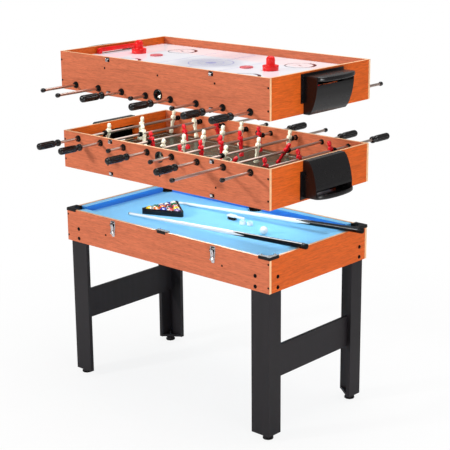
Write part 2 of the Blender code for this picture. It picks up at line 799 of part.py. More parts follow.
def rod(index):
    """Steel rod with its players, grip, end cap and back bumper, about the rod's middle."""
    front, front_piece = rod_end(index, -1)
    back, back_piece = rod_end(index, 1)
    start = bumper_start(index)
    shaft = bar(ROD_RADIUS, (0, front - OVERLAP, 0), (0, back + OVERLAP, 0), TURN_SIDES)
    bumper = bar(BUMPER_RADIUS, (0, start, 0), (0, start + BUMPER_WIDTH, 0), TURN_SIDES)
    players = [man(place) for place in men_places(index)]
    return joined([shaft, merged([front_piece, back_piece, bumper] + players)])


def front_bumper(index):
    """Loose ring between the front player and the front bushing."""
    inner = clear_radius(ROD_RADIUS, TURN_SIDES)
    ring = turned(
        [(inner, 0), (BUMPER_RADIUS, 0), (BUMPER_RADIUS, BUMPER_WIDTH), (inner, BUMPER_WIDTH)],
        TURN_SIDES, ring=True,
    )
    return moved(along_y(ring, -1), (0, -bumper_start(index), 0))


def plain_side_panel(side):
    """Long wall with its bushings still solid and its ball entry cut."""
    low = (-END, min(side * SIDE, side * INNER_SIDE), 0)
    high = (END, max(side * SIDE, side * INNER_SIDE), BOX_HEIGHT)
    start, end = side * (INNER_SIDE - OVERRUN), side * (SIDE + OVERRUN)
    level = BOX_HEIGHT - ENTRY_DROP
    wall = cut(block(low, high), [bar(ENTRY_RADIUS, (0, start, level), (0, end, level), FINE_SIDES)])
    inside, outside = side * (INNER_SIDE - BUSH_INSIDE), side * (SIDE + BUSH_OUTSIDE)
    bushings = [
        bar(BUSH_RADIUS, (x, inside, ROD_LEVEL), (x, outside, ROD_LEVEL), TURN_SIDES) for x in ROD_PLACES
    ]
    return joined([wall, merged(bushings)])


def bored_side_panel(side):
    """Long wall whose bushings the rods slide and turn in."""
    start, end = side * (INNER_SIDE - OVERRUN), side * (SIDE + 2 * OVERRUN)
    radius = clear_radius(ROD_RADIUS, TURN_SIDES)
    bores = [bar(radius, (x, start, ROD_LEVEL), (x, end, ROD_LEVEL), TURN_SIDES) for x in ROD_PLACES]
    return cut(plain_side_panel(side), bores)


def side_panel_with_ends(side):
    """Long wall of the turned-over box, with the ends of its rods in place."""
    ends = []
    for index, place in enumerate(ROD_PLACES):
        slide = HOCKEY_SLIDE_SHARES[index] * rod_travel(index)
        reach, piece = rod_end(index, side, slide)
        start = side * (INNER_SIDE - BUSH_INSIDE + OVERLAP)
        shaft = bar(ROD_RADIUS, (0, start, 0), (0, reach + side * OVERLAP, 0), TURN_SIDES)
        ends.append(moved(joined([shaft, piece]), (place, 0, ROD_LEVEL)))
    return joined([plain_side_panel(side), merged(ends)])


def end_panel(end):
    reach = INNER_SIDE - SEAT_GAP
    low = (min(end * END, end * INNER_END), -reach, 0)
    high = (max(end * END, end * INNER_END), reach, BOX_HEIGHT)
    left, right = low[0] - OVERRUN, high[0] + OVERRUN
    openings = []
    for bottom, top in ((DECK_TOP, DECK_TOP + MOUTH_HEIGHT), (HOCKEY_DEPTH - SLOT_HEIGHT, HOCKEY_DEPTH)):
        openings.append(block((left, -MOUTH_HALF_WIDTH, bottom), (right, MOUTH_HALF_WIDTH, top)))
    return cut(block(low, high), openings)


def goal_outline(reach, low, high, back):
    """Side view of a goal box: out from the panel along X, up along Y."""
    outline = [(back, low), (back, high)]
    outline += [(share * reach, low + height * (high - low)) for share, height in GOAL_PROFILE_SHARES]
    return outline


def goal_box():
    """Moulded box outside the right-hand end: curved front, hand gap and bowed tray."""
    low, high = GOAL_TRAY_HEIGHT, BOX_HEIGHT - GOAL_TOP_DROP
    upright = Matrix.Rotation(math.pi / 2, 4, "X")
    half, inner = GOAL_HALF_WIDTH, GOAL_HALF_WIDTH - GOAL_WALL
    skin = placed(plate(goal_outline(GOAL_REACH, low, high, 2 * SEAT_GAP), -half, half), upright)
    thinner = goal_outline(GOAL_REACH - GOAL_WALL, low + GOAL_WALL, high - GOAL_WALL, -OVERRUN)
    hollow = placed(plate(thinner, -inner, inner), upright)

    corner = GOAL_REACH * GOAL_TRAY_CORNER
    floor, lip = low - OVERLAP, low + GOAL_TRAY_LIP
    bow = [(reach * GOAL_REACH, across * half) for reach, across in TRAY_BOW_SHARES]
    bow = [(corner, bow[0][1])] + bow
    outline = bow + [(reach, -across) for reach, across in reversed(bow)]
    room = [(reach - GOAL_WALL, across * inner / half) for reach, across in outline]
    tray = plate(outline, floor, lip)
    tray_room = plate(room, floor + GOAL_WALL, lip + OVERRUN)
    past = GOAL_REACH + OVERRUN
    hand_gap = block((corner, OVERLAP - inner, lip), (past, inner - OVERLAP, lip + GOAL_HAND_GAP))

    flange = block(
        (SEAT_GAP, -GOAL_FLANGE_HALF_WIDTH, low + OVERLAP),
        (GOAL_WALL, GOAL_FLANGE_HALF_WIDTH, GOAL_FLANGE_TOP),
    )
    solid = joined([skin, tray, flange])
    for cutter in (hollow, tray_room, hand_gap):
        solid = cut(solid, [cutter])
    return moved(solid, (END, 0, 0))


def make_box(table, prefix, carrier, side_panel, finishes):
    """Panels, deck and goal boxes of one games box."""
    for name, side in (("front", -1), ("back", 1)):
        table.add(f"{prefix}_{name}_panel", side_panel(side), finishes["wood"], carrier=carrier)
    goal = goal_box()
    for name, end in (("left", -1), ("right", 1)):
        table.add(f"{prefix}_{name}_panel", end_panel(end), finishes["wood"], carrier=carrier)
        solid = turned_over(goal, 90 - 90 * end, "Z")
        table.add(f"{prefix}_{name}_goal_box", solid, finishes["plastic"], carrier=carrier)
    reach_end, reach_side = INNER_END - SEAT_GAP, INNER_SIDE - SEAT_GAP
    deck = block((-reach_end, -reach_side, HOCKEY_DEPTH), (reach_end, reach_side, DECK_TOP))
    table.add(f"{prefix}_deck", deck, finishes["deck"], carrier=carrier)


def make_rods(table, carrier, finishes):
    for index, place in enumerate(ROD_PLACES):
        origin = Vector((place, FOOSBALL_SLIDE_SHARES[index] * rod_travel(index), ROD_LEVEL))
        ring = moved(front_bumper(index), origin)
        solid = moved(turned_over(rod(index), FOOSBALL_TILT_DEGREES[index], "Y"), origin)
        for name, piece, material in (("bumper", ring, "plastic"), ("rod", solid, "steel")):
            table.add(f"{name}_{index + 1}", piece, finishes[material], origin, carrier, smooth=True)


def make_hockey_pieces(table, carrier, red):
    profile = [(radius * PUSHER_RADIUS, height * PUSHER_HEIGHT) for radius, height in PUSHER_SHARES]
    pusher = turned_over(turned(profile, FINE_SIDES), 180, "X")
    puck = bar(PUCK_RADIUS, (0, 0, 0), (0, 0, -PUCK_HEIGHT), FINE_SIDES)
    for name, pusher_place, puck_place in zip(("left", "right"), PUSHER_PLACES, PUCK_PLACES):
        for kind, shape, place in (("pusher", pusher, pusher_place), ("puck", puck, puck_place)):
            point = Vector((place[0], -place[1], HOCKEY_DEPTH - SEAT_GAP))
            table.add(f"{kind}_{name}", moved(shape, point), red, origin=point, carrier=carrier, smooth=True)


def main():
    clear_scene()
    table = Assembly()
    wood = finish("cherry_laminate", (0.62, 0.27, 0.12), 0.45)
    laminate = finish("charcoal_laminate", (0.025, 0.022, 0.024), 0.55)
    cloth = finish("blue_cloth", (0.12, 0.46, 0.85), 0.9)
    plastic = finish("black_plastic", (0.02, 0.02, 0.022), 0.4)
    chrome = finish("chromed_steel", (0.75, 0.76, 0.78), 0.2, 1.0)
    steel = finish("rod_steel", (0.7, 0.71, 0.73), 0.25, 1.0)
    resin = finish("ball_resin", (0.85, 0.83, 0.78), 0.15)
    maple = finish("shaft_lacquer", (0.85, 0.80, 0.72), 0.3)
    chalk = finish("pale_chalk", (0.85, 0.9, 0.93), 0.9)
    beech = finish("brush_lacquer", (0.85, 0.85, 0.83), 0.5)
    red = finish("red_plastic", (0.75, 0.03, 0.05), 0.3)
    field = finish("field_print", (0.04, 0.07, 0.06), 0.5)
    ice = finish("hockey_print", (0.86, 0.87, 0.9), 0.15)

    make_rails(table, wood)
    make_bed(table, cloth)
    make_pockets(table, plastic)
    make_legs(table, laminate)
    make_stretchers(table, laminate)
    make_latches(table, chrome)
    make_rack(table, plastic, resin)
    make_cues(table, maple)
    make_chalk(table, chalk)
    make_brush(table, beech)

    finishes = {"wood": wood, "deck": field, "plastic": plastic, "steel": steel}
    foosball = table.carrier("foosball_box_frame", FOOSBALL_BOTTOM)
    make_box(table, "foosball", foosball, bored_side_panel, finishes)
    make_rods(table, foosball, finishes)

    hockey = table.carrier("hockey_box_frame", HOCKEY_BOTTOM + BOX_HEIGHT, (math.pi, 0, 0))
    make_box(table, "hockey", hockey, side_panel_with_ends, {**finishes, "deck": ice})
    make_hockey_pieces(table, hockey, red)


main()
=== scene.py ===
"""Dresses the multi game table: billiard base, foosball box and hockey box.

Lengths are in metres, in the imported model's frame: X along the table, Y towards the back,
Z up, the floor at 0. Only the points given to mm() are typed in millimetres.
"""

import math

import bmesh
import bpy
from mathutils import Matrix, Vector


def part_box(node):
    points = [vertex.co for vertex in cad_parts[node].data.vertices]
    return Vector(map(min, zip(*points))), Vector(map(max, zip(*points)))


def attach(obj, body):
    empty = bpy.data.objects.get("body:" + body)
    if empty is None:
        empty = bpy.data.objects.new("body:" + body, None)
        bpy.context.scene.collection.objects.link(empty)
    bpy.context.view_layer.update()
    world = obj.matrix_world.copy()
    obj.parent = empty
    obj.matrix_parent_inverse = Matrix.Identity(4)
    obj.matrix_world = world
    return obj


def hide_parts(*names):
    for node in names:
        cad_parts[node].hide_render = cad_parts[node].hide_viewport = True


bl_info = {
    "name": "Multi game table",
    "version": (1, 0, 0),
    "blender": (4, 5, 0),
    "location": "View3D > Sidebar > Game table",
    "description": "Builds the finished look of a multi game table on its packed frame",
    "category": "Object",
}

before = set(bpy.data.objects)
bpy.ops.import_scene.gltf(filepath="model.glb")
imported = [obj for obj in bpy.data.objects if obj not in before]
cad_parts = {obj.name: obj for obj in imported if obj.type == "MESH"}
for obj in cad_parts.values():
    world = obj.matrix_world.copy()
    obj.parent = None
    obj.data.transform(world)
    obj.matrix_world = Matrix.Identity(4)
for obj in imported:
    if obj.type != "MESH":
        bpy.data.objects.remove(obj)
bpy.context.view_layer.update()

TAU = 2 * math.pi
ENDS = (-1, 1)
CORNERS = [(end, side) for end in ENDS for side in ENDS]
LEFT_RIGHT = (("left", -1), ("right", 1))
FRONT_BACK = (("front", -1), ("back", 1))
HAIR = 0.0003
SHEET = 0.0001
SMOOTH_ANGLE = math.radians(32)
MIRROR_X = Matrix.Diagonal((-1, 1, 1, 1))
SWAP_X_AND_Y = Matrix(((0, 1, 0, 0), (1, 0, 0, 0), (0, 0, 1, 0), (0, 0, 0, 1)))

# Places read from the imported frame
FRONT_RAIL_LOW, FRONT_RAIL_HIGH = (Vector(corner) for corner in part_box("base_front_rail"))
BACK_OF_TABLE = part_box("base_back_rail")[1][1]
MIDDLE = Vector((0, (FRONT_RAIL_LOW.y + BACK_OF_TABLE) / 2, 0))
END = FRONT_RAIL_HIGH.x
SIDE = (BACK_OF_TABLE - FRONT_RAIL_LOW.y) / 2
BOARD = FRONT_RAIL_HIGH.y - FRONT_RAIL_LOW.y
RIM = FRONT_RAIL_HIGH.z
APRON_BOTTOM = FRONT_RAIL_LOW.z
BED_DROP = 0.029
BED_TOP = RIM - BED_DROP
FOOSBALL_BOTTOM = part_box("foosball_left_panel")[0][2]
BOX_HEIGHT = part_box("foosball_left_panel")[1][2] - FOOSBALL_BOTTOM
HOCKEY_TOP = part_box("hockey_left_panel")[1][2]
INNER_END, INNER_SIDE = END - BOARD, SIDE - BOARD

# The two boxes' own frames, before the table's middle is added: Z 0 at the hockey rim,
# BOX_HEIGHT at the foosball rim
FOOSBALL = Matrix.Translation((0, 0, FOOSBALL_BOTTOM))
HOCKEY = Matrix.Translation((0, 0, HOCKEY_TOP)) @ Matrix.Rotation(math.pi, 4, "X")
BOXES = (FOOSBALL, HOCKEY)
DECK_LOW, DECK_HIGH = 0.034, 0.062
BALL_ENTRY_LEVEL, BALL_ENTRY_RADIUS = 0.130, 0.0187
LATCH_PLACE, LATCH_DROP, SCREW_PLACE = 0.30, 0.024, 0.32
FOOT_PLACE = (0.561, 0.281)

# Rods, as in the frame
ROD_SPACING = 0.145
ROD_LEVEL = BOX_HEIGHT - 0.026
ROD_RADIUS = 0.006
ROD_MEN = (3, 2, 3, 5, 5, 3, 2, 3)
ROD_GRIP_SIDE = (-1, -1, 1, -1, 1, -1, 1, 1)
ROD_TEAM = (0, 0, 1, 0, 1, 0, 1, 1)
MEN_SPACING_SHARES = {2: 0.515, 3: 0.323, 5: 0.194}
FOOSBALL_SLIDE_SHARES = (0.92, 0.92, 0.82, 0.75, -0.70, 0.78, -0.92, -0.28)
HOCKEY_SLIDE_SHARES = (0.60, 0.37, -0.95, -0.60, -0.90, -0.10, -0.95, -0.95)
FOOSBALL_TILT = (12, -10, -14, 8, -6, 10, 35, -16)
HOCKEY_TILT = (4, -6, 8, -4, 6, -8, 5, -5)
BUSH_INSIDE, BUSH_OUTSIDE, BUSH_RADIUS = 0.004, 0.011, 0.0115
BUMPER_WIDTH, BUMPER_RADIUS = 0.014, 0.0115
MAN_HALF_WIDTH = 0.0135
GRIP_CLEARANCE, CAP_CLEARANCE = 0.094, 0.055
GRIP_LENGTH, GRIP_RADIUS = 0.122, 0.0155
CAP_LENGTH, CAP_RADIUS = 0.020, 0.0095


# Settings that a user would change

def colour_setting(name, description, default):
    return bpy.props.FloatVectorProperty(
        name=name, description=description, default=default, subtype="COLOR", size=3, min=0, max=1
    )


def length_setting(name, description, default):
    return bpy.props.FloatProperty(
        name=name, description=description, default=default, min=0, subtype="DISTANCE", unit="LENGTH"
    )


class TableColours(bpy.types.PropertyGroup):
    """Colours of the table's finishes, in display values."""

    # Painted sheen: the long boards' colour is paler and pinker than the end boards', to stand in for the
    # sheen on their faces
    cherry: colour_setting("Cherry", "Wood-grain laminate of the long boards", (0.80, 0.435, 0.295))
    cherry_end: colour_setting("Cherry, ends", "Wood-grain laminate of the end boards", (0.84, 0.375, 0.115))
    banding: colour_setting("Edge banding", "Pale strip on the boards' edges", (0.95, 0.76, 0.58))
    charcoal: colour_setting("Charcoal", "Laminate of the legs and stretchers", (0.108, 0.094, 0.108))
    cloth: colour_setting("Cloth", "Playing cloth of the billiard bed", (0.49, 0.81, 0.97))
    # Painted shade: the cushions' sloping sides take this deeper blue, standing in for the shade on the cloth
    # there
    cushion: colour_setting("Cushion cloth", "Cloth on the cushions' sloping sides", (0.19, 0.52, 0.86))
    plastic: colour_setting("Black plastic", "Moulded grips, knobs, rack and rings", (0.040, 0.036, 0.040))
    cream: colour_setting("First team", "Plastic of the first team's players", (0.99, 0.96, 0.86))
    red: colour_setting("Second team", "Plastic of the second team's players", (0.82, 0.08, 0.14))
    hockey_red: colour_setting("Hockey red", "Plastic of the pushers and goal guards", (0.93, 0.13, 0.13))
    puck: colour_setting("Puck", "Plastic of the pucks", (0.85, 0.40, 0.43))
    field: colour_setting("Foosball field", "Printed foosball field", (0.25, 0.30, 0.255))
    ice: colour_setting("Hockey surface", "Printed hockey surface", (0.98, 0.975, 1.0))


class TableSizes(bpy.types.PropertyGroup):
    """Sizes of the table's small details."""

    screw_head: length_setting("Screw head", "Radius of a panel screw's head", 0.0046)
    bolt_head: length_setting("Bolt head", "Radius of a leg bolt's head", 0.0085)
    line: length_setting("Line", "Width of the lines printed on the fields", 0.0022)
    board_edge: length_setting("Board edge", "Rounding of a board's edges", 0.0008)
    bristle: length_setting("Bristle", "Radius of a brush bristle", 0.0007)


def colours():
    return bpy.context.scene.game_table_colours


def sizes():
    return bpy.context.scene.game_table_sizes


# Finishes

WHITE, BLACK = (1, 1, 1), (0, 0, 0)
FINISHES = {}


def linear(colour, share=1.0):
    """A display colour as linear light, darkened or lightened by a share."""
    values = []
    for value in colour:
        value = min(1.0, value * share)
        values.append(value / 12.92 if value <= 0.04045 else ((value + 0.055) / 1.055) ** 2.4)
    return (*values, 1.0)


class Finish:
    """A node material under construction."""

    def __init__(self, name, roughness=0.5, metallic=0.0, gloss=0.5):
        self.material = bpy.data.materials.new(name)
        self.material.use_nodes = True
        self.tree = self.material.node_tree
        self.shader = self.tree.nodes["Principled BSDF"]
        self.set(roughness=roughness, metallic=metallic, specular_ior_level=gloss)

    def set(self, **values):
        for name, value in values.items():
            self.shader.inputs[name.replace("_", " ").title().replace("Ior", "IOR")].default_value = value

    def node(self, kind, settings=None, **inputs):
        """A node with its settings, and its inputs by name or, after an underscore, by number."""
        item = self.tree.nodes.new(kind)
        for name, value in (settings or {}).items():
            setattr(item, name, value)
        for name, value in inputs.items():
            socket = item.inputs[int(name[1:])] if name[0] == "_" else item.inputs[name]
            if isinstance(value, bpy.types.NodeSocket):
                self.tree.links.new(value, socket)
            else:
                socket.default_value = value
        return item

    def place(self, stretch=(1, 1, 1)):
        """Object coordinates about the table's middle, stretched."""
        coordinates = self.node("ShaderNodeTexCoord").outputs["Object"]
        shift = [-middle * share for middle, share in zip(MIDDLE, stretch)]
        mapping = self.node("ShaderNodeMapping", Vector=coordinates, Location=shift, Scale=stretch)
        return mapping.outputs["Vector"]

    def noise(self, stretch, detail=4.0, roughness=0.55, distortion=0.0):
        """Noise with so many waves to the metre, the same or different along X, Y and Z."""
        if isinstance(stretch, (int, float)):
            stretch = (stretch,) * 3
        return self.node(
            "ShaderNodeTexNoise", Vector=self.place(stretch), Scale=1.0, Detail=detail,
            Roughness=roughness, Distortion=distortion,
        ).outputs["Fac"]

    def ramp(self, value, stops):
        item = self.node("ShaderNodeValToRGB", Fac=value)
        elements = item.color_ramp.elements
        while len(elements) < len(stops):
            elements.new(0.5)
        for element, (place, colour) in zip(elements, stops):
            element.position = place
            element.color = colour if len(colour) == 4 else (*colour, 1)
        return item.outputs["Color"]

    def shades(self, value, colour, dark, bright, start=0.3, end=0.7):
        """A colour, darkened where the value is low and lightened where it is high."""
        return self.ramp(value, [(start, linear(colour, dark)), (end, linear(colour, bright))])

    def maths(self, operation, first, second=0.0, third=0.0):
        return self.node("ShaderNodeMath", {"operation": operation}, _0=first, _1=second, _2=third).outputs[0]

    def length(self, vector):
        return self.node("ShaderNodeVectorMath", {"operation": "LENGTH"}, _0=vector).outputs["Value"]

    def mix(self, share, first, second, blend="MIX"):
        settings = {"data_type": "RGBA", "blend_type": blend}
        return self.node("ShaderNodeMix", settings, _0=share, _6=first, _7=second).outputs[2]

    def colour(self, value):
        self.tree.links.new(value, self.shader.inputs["Base Color"])
        return self

    def rough(self, value, low, high):
        ranged = self.node("ShaderNodeMapRange", Value=value, _3=low, _4=high).outputs[0]
        self.tree.links.new(ranged, self.shader.inputs["Roughness"])
        return self

    def bump(self, height, strength, distance):
        item = self.node("ShaderNodeBump", Height=height, Strength=strength, Distance=distance)
        self.tree.links.new(item.outputs["Normal"], self.shader.inputs["Normal"])
        return self

    def facing(self, axis, least):
        """1 where the surface faces along an axis, either way."""
        normal = self.node("ShaderNodeNewGeometry").outputs["True Normal"]
        part = self.node("ShaderNodeSeparateXYZ", Vector=normal).outputs[axis]
        return self.maths("GREATER_THAN", self.maths("ABSOLUTE", part), least)


def finish(name, make):
    """The finish of this name, made on first use."""
    if name not in FINISHES:
        FINISHES[name] = make(name).material
    return FINISHES[name]


def cherry_grain(name, colour, along, edges):
    """Wood-grain laminate with its grain along an axis and pale banding on edge faces."""
    item = Finish(name, roughness=0.45, gloss=0.2)

    def stretched(across, lengthwise, detail, roughness=0.6):
        waves = [across, across, across]
        waves[along] = lengthwise
        return item.noise(waves, detail, roughness, 0.3)

    figure = stretched(26.0, 1.5, 6.0)
    fibres = stretched(150.0, 12.0, 6.0, 0.75)
    pores = stretched(480.0, 32.0, 3.0)
    fibre_stops = ((0.32, 0.89), (0.46, 0.98), (0.54, 1.02), (0.70, 1.09))
    tone = item.ramp(fibres, [(place, linear(colour, share)) for place, share in fibre_stops])
    bands = item.ramp(figure, [(0.34, (0.88, 0.85, 0.83)), (0.54, WHITE)])
    dark = item.ramp(pores, [(0.38, (0.66, 0.56, 0.50)), (0.50, WHITE)])
    wood = item.mix(0.6, item.mix(0.6, tone, bands, "MULTIPLY"), dark, "MULTIPLY")
    banding = item.shades(item.noise(60), colours().banding, 0.95, 1.02, 0.35, 0.65)
    for axis in edges:
        wood = item.mix(item.facing(axis, 0.85), wood, banding)
    return item.colour(wood).rough(pores, 0.50, 0.36).bump(pores, 0.12, 0.0003)


# Painted sheen: this laminate is paler and pinker than the end boards' to stand in for the sheen on the long
# faces
def long_cherry_painted_sheen():
    return finish("cherry_long_painted_sheen", lambda name: cherry_grain(name, colours().cherry, 0, (0, 2)))


def end_cherry():
    return finish("cherry_end", lambda name: cherry_grain(name, colours().cherry_end, 1, (2,)))


def deck_board():
    return finish("deck_board", lambda name: cherry_grain(name, (0.62, 0.50, 0.38), 0, ()))


def charcoal_laminate(name):
    item = Finish(name, roughness=0.55, gloss=0.3)
    grain = item.noise((40, 40, 3.0), 5.0)
    tone = item.shades(grain, colours().charcoal, 0.82, 1.15, 0.35)
    return item.colour(tone).rough(grain, 0.44, 0.60).bump(item.noise(900, 2.0), 0.10, 0.0002)


def charcoal():
    return finish("charcoal_laminate", charcoal_laminate)


def cloth_weave(name, painted_shade_colour):
    """Napped cloth, with painted shade: a deeper colour on the cushions' sloping sides stands in for their
    shade.
    """
    item = Finish(name, roughness=0.9, gloss=0.06)
    item.set(sheen_weight=0.25, sheen_roughness=0.5)
    fluff = item.noise(700, 3.0, 0.7)
    patches = item.ramp(item.noise(9, 2.0), [(0.35, (0.94, 0.96, 0.98)), (0.65, WHITE)])
    flat = item.mix(0.5, item.shades(fluff, colours().cloth, 0.95, 1.03), patches, "MULTIPLY")
    # Painted shade: faces that are not level take the deeper colour
    tone = item.mix(item.facing(2, 0.9), item.shades(fluff, painted_shade_colour, 0.93, 1.05), flat)
    return item.colour(tone).bump(fluff, 0.25, 0.0004)


def cloth():
    return finish("billiard_cloth_painted_shade", lambda name: cloth_weave(name, colours().cushion))


def pale_cloth():
    return finish("pale_cloth", lambda name: cloth_weave(name, colours().cloth))


def moulded(name, colour, low, high, gloss, grain=500.0, depth=0.00015):
    """Injection-moulded plastic with a fine spark texture."""
    def make(title):
        item = Finish(title, roughness=low, gloss=gloss)
        texture = item.noise(grain, 2.0)
        wear = item.noise(14)
        tone = item.shades(wear, colour, 0.94, 1.05)
        return item.colour(tone).rough(wear, low, high).bump(texture, 0.12, depth)
    return finish(name, make)


def black_plastic():
    return moulded("black_plastic", colours().plastic, 0.16, 0.26, 0.4)


def goal_plastic():
    return moulded("goal_plastic", (0.054, 0.044, 0.050), 0.22, 0.32, 0.38)


def matt_black():
    return moulded("matt_black_plastic", (0.07, 0.06, 0.06), 0.42, 0.58, 0.2, 320.0, 0.0003)


def rubber():
    return moulded("black_rubber", (0.06, 0.055, 0.055), 0.50, 0.65, 0.12, 260.0, 0.0003)


def cream_plastic():
    return moulded("cream_plastic", colours().cream, 0.22, 0.32, 0.5)


def red_plastic():
    return moulded("red_plastic", colours().red, 0.16, 0.26, 0.5)


def hockey_red():
    return moulded("hockey_red_plastic", colours().hockey_red, 0.14, 0.22, 0.3)


def puck_plastic():
    return moulded("puck_plastic", colours().puck, 0.24, 0.34, 0.3)


def brush_lacquer():
    return moulded("brush_lacquer", (0.98, 0.98, 0.96), 0.24, 0.34, 0.35)


def metal(name, colour, low, high, stretch):
    """Bright metal, drawn or rolled along the axis with the fewest waves."""
    def make(title):
        item = Finish(title, roughness=low, metallic=1.0)
        lines = item.noise(stretch, 3.0)
        tone = item.shades(lines, colour, 0.93, 1.04)
        return item.colour(tone).rough(lines, low, high).bump(lines, 0.05, 0.0001)
    return finish(name, make)


# Painted reflection: the steel's brightness is its own, but its warm, pinkish tint stands in for the cherry
# walls mirrored in the rods
def drawn_steel_painted_reflection():
    return metal("drawn_steel_painted_reflection", (0.80, 0.72, 0.68), 0.26, 0.34, (300, 4, 300))


def plated_steel():
    return metal("plated_steel", (0.80, 0.80, 0.81), 0.14, 0.26, 300)


def dark_steel():
    return metal("blackened_steel", (0.09, 0.085, 0.09), 0.34, 0.48, 400)


def field_print(name):
    """Printed foosball field, with mown patches and fine blades."""
    item = Finish(name, roughness=0.22, gloss=0.12)
    turf = item.noise((3.0, 7.0, 3.0), 5.0, 0.6, 0.6)
    blades = item.noise((380, 90, 380), 2.0)
    turf_stops = ((0.30, 0.78), (0.55, 1.0), (0.75, 1.28))
    tone = item.ramp(turf, [(place, linear(colours().field, share)) for place, share in turf_stops])
    shade = item.ramp(blades, [(0.35, (0.86, 0.88, 0.86)), (0.6, WHITE)])
    tone = item.mix(0.5, tone, shade, "MULTIPLY")
    return item.colour(tone).rough(turf, 0.20, 0.32).bump(blades, 0.04, 0.0002)


def ice_print_painted_shade(name):
    """Glossy white hockey surface with a soft cool tint about its middle, and a painted grey band of shade
    across the middle.
    """
    item = Finish(name, roughness=0.05, gloss=0.4)
    parts = item.node("ShaderNodeSeparateXYZ", Vector=item.place((1.0, 1.7, 1.0))).outputs
    flat = item.node("ShaderNodeCombineXYZ", X=parts[0], Y=parts[1]).outputs[0]
    cloud = item.noise(7, 5.0, 0.6)
    edge = item.maths("MULTIPLY_ADD", cloud, 0.10, item.length(flat))
    ice = linear(colours().ice)
    tint = item.ramp(edge, [
        (0.06, linear((0.78, 0.78, 0.86))), (0.14, linear((0.83, 0.83, 0.89))), (0.24, ice), (1.0, ice),
    ])
    # Painted shade: a grey band across the middle of the ice
    across = item.maths("ABSOLUTE", item.maths("MULTIPLY_ADD", cloud, 0.05, parts[0]))
    band = item.ramp(across, [(0.04, (0.5, 0.5, 0.5)), (0.15, BLACK)])
    tint = item.mix(band, tint, linear((0.80, 0.79, 0.84)))
    frost = item.ramp(item.noise(60), [(0.3, (0.97, 0.97, 0.98)), (0.7, WHITE)])
    return item.colour(item.mix(0.6, tint, frost, "MULTIPLY")).rough(cloud, 0.04, 0.08)


def ball_finish(name, colour):
    def make(title):
        item = Finish(title, roughness=0.08, gloss=0.5)
        scuff = item.noise(90)
        return item.colour(item.shades(scuff, colour, 0.96, 1.02)).rough(scuff, 0.06, 0.14)
    return finish(name, make)


def ink(name, colour, roughness=0.25):
    def make(title):
        item = Finish(title, roughness=roughness, gloss=0.2)
        wear = item.noise(120, 3.0)
        return item.colour(item.shades(wear, colour, 0.92, 1.04)).rough(wear, roughness, roughness + 0.1)
    return finish(name, make)


def cue_lacquer(name, colour, roughness, gloss):
    def make(title):
        item = Finish(title, roughness=roughness, gloss=gloss)
        grain = item.noise((5, 160, 160))
        tone = item.shades(grain, colour, 0.93, 1.03)
        return item.colour(tone).rough(grain, roughness, roughness + 0.06).bump(grain, 0.03, 0.0001)
    return finish(name, make)


def chalk_stone(name):
    item = Finish(name, roughness=0.95)
    dust = item.noise(600, 4.0, 0.7)
    tone = item.ramp(dust, [(0.3, linear((0.62, 0.80, 0.94))), (0.7, linear((0.76, 0.89, 0.98)))])
    return item.colour(tone).bump(dust, 0.5, 0.0004)


# Shapes

def mm(*points):
    """Points typed in millimetres, in metres."""
    return [tuple(value / 1000 for value in point) for point in points]


moved = Matrix.Translation


def turned_about(axis, degrees):
    return Matrix.Rotation(math.radians(degrees), 4, axis)


def along_y(side=1):
    """Turns a shape made along Z so that it runs along Y, towards the given side."""
    return turned_about("X", -90 * side)


def half_turn(end):
    """Turns a shape made for the right-hand end to the given end."""
    return turned_about("Z", 180 if end < 0 else 0)


# Lays a profile of (reach, height) across X, so that its reach runs along Y
PROFILE_ACROSS_X = Matrix(((0, 0, 1, 0), (1, 0, 0, 0), (0, 1, 0, 0), (0, 0, 0, 1)))


def smoothed(mesh):
    mesh.shade_smooth()
    mesh.set_sharp_from_angle(angle=SMOOTH_ANGLE)


def mesh_of(shape, name, smooth=True):
    bmesh.ops.remove_doubles(shape, verts=shape.verts, dist=0.000005)
    bmesh.ops.recalc_face_normals(shape, faces=shape.faces)
    mesh = bpy.data.meshes.new(name)
    shape.to_mesh(mesh)
    shape.free()
    if smooth:
        smoothed(mesh)
    return mesh


def ring_points(radius, height, count):
    """Points of a circle about Z, or the one point of a circle without a radius."""
    if radius == 0:
        return [Vector((0, 0, height))]
    angles = [TAU * step / count for step in range(count)]
    return [Vector((radius * math.cos(angle), radius * math.sin(angle), height)) for angle in angles]


def skin(shape, rings, closed=False, capped=False):
    """Faces between rings of points; a ring of one point is a tip."""
    rows = [[shape.verts.new(point) for point in ring] for ring in rings]
    followers = rows[1:] + rows[:1] if closed else rows[1:]
    for lower, upper in zip(rows, followers):
        count = max(len(lower), len(upper))
        for step in range(count):
            after = (step + 1) % count
            corners = [lower[step % len(lower)], lower[after % len(lower)]]
            corners += [upper[after % len(upper)], upper[step % len(upper)]]
            unique = list(dict.fromkeys(corners))
            if len(unique) > 2:
                shape.faces.new(unique)
    if capped:
        shape.faces.new(rows[0][::-1])
        shape.faces.new(rows[-1])
    return shape


def skinned(rings, closed=False, capped=False):
    return skin(bmesh.new(), rings, closed, capped)


def turned(profile, sides=32, closed=False):
    """A profile of (radius, height) turned about Z."""
    return skinned([ring_points(radius, height, sides) for radius, height in profile], closed)


def block(low, high, rounding=0.0, segments=2):
    """A box between two corners, its edges rounded."""
    low, high = Vector(low), Vector(high)
    shape = bmesh.new()
    bmesh.ops.create_cube(shape, size=1, matrix=moved((low + high) / 2) @ Matrix.Diagonal((*(high - low), 1)))
    if rounding:
        bmesh.ops.bevel(
            shape, geom=shape.edges[:], offset=rounding, segments=segments, profile=0.5, affect="EDGES"
        )
    return shape


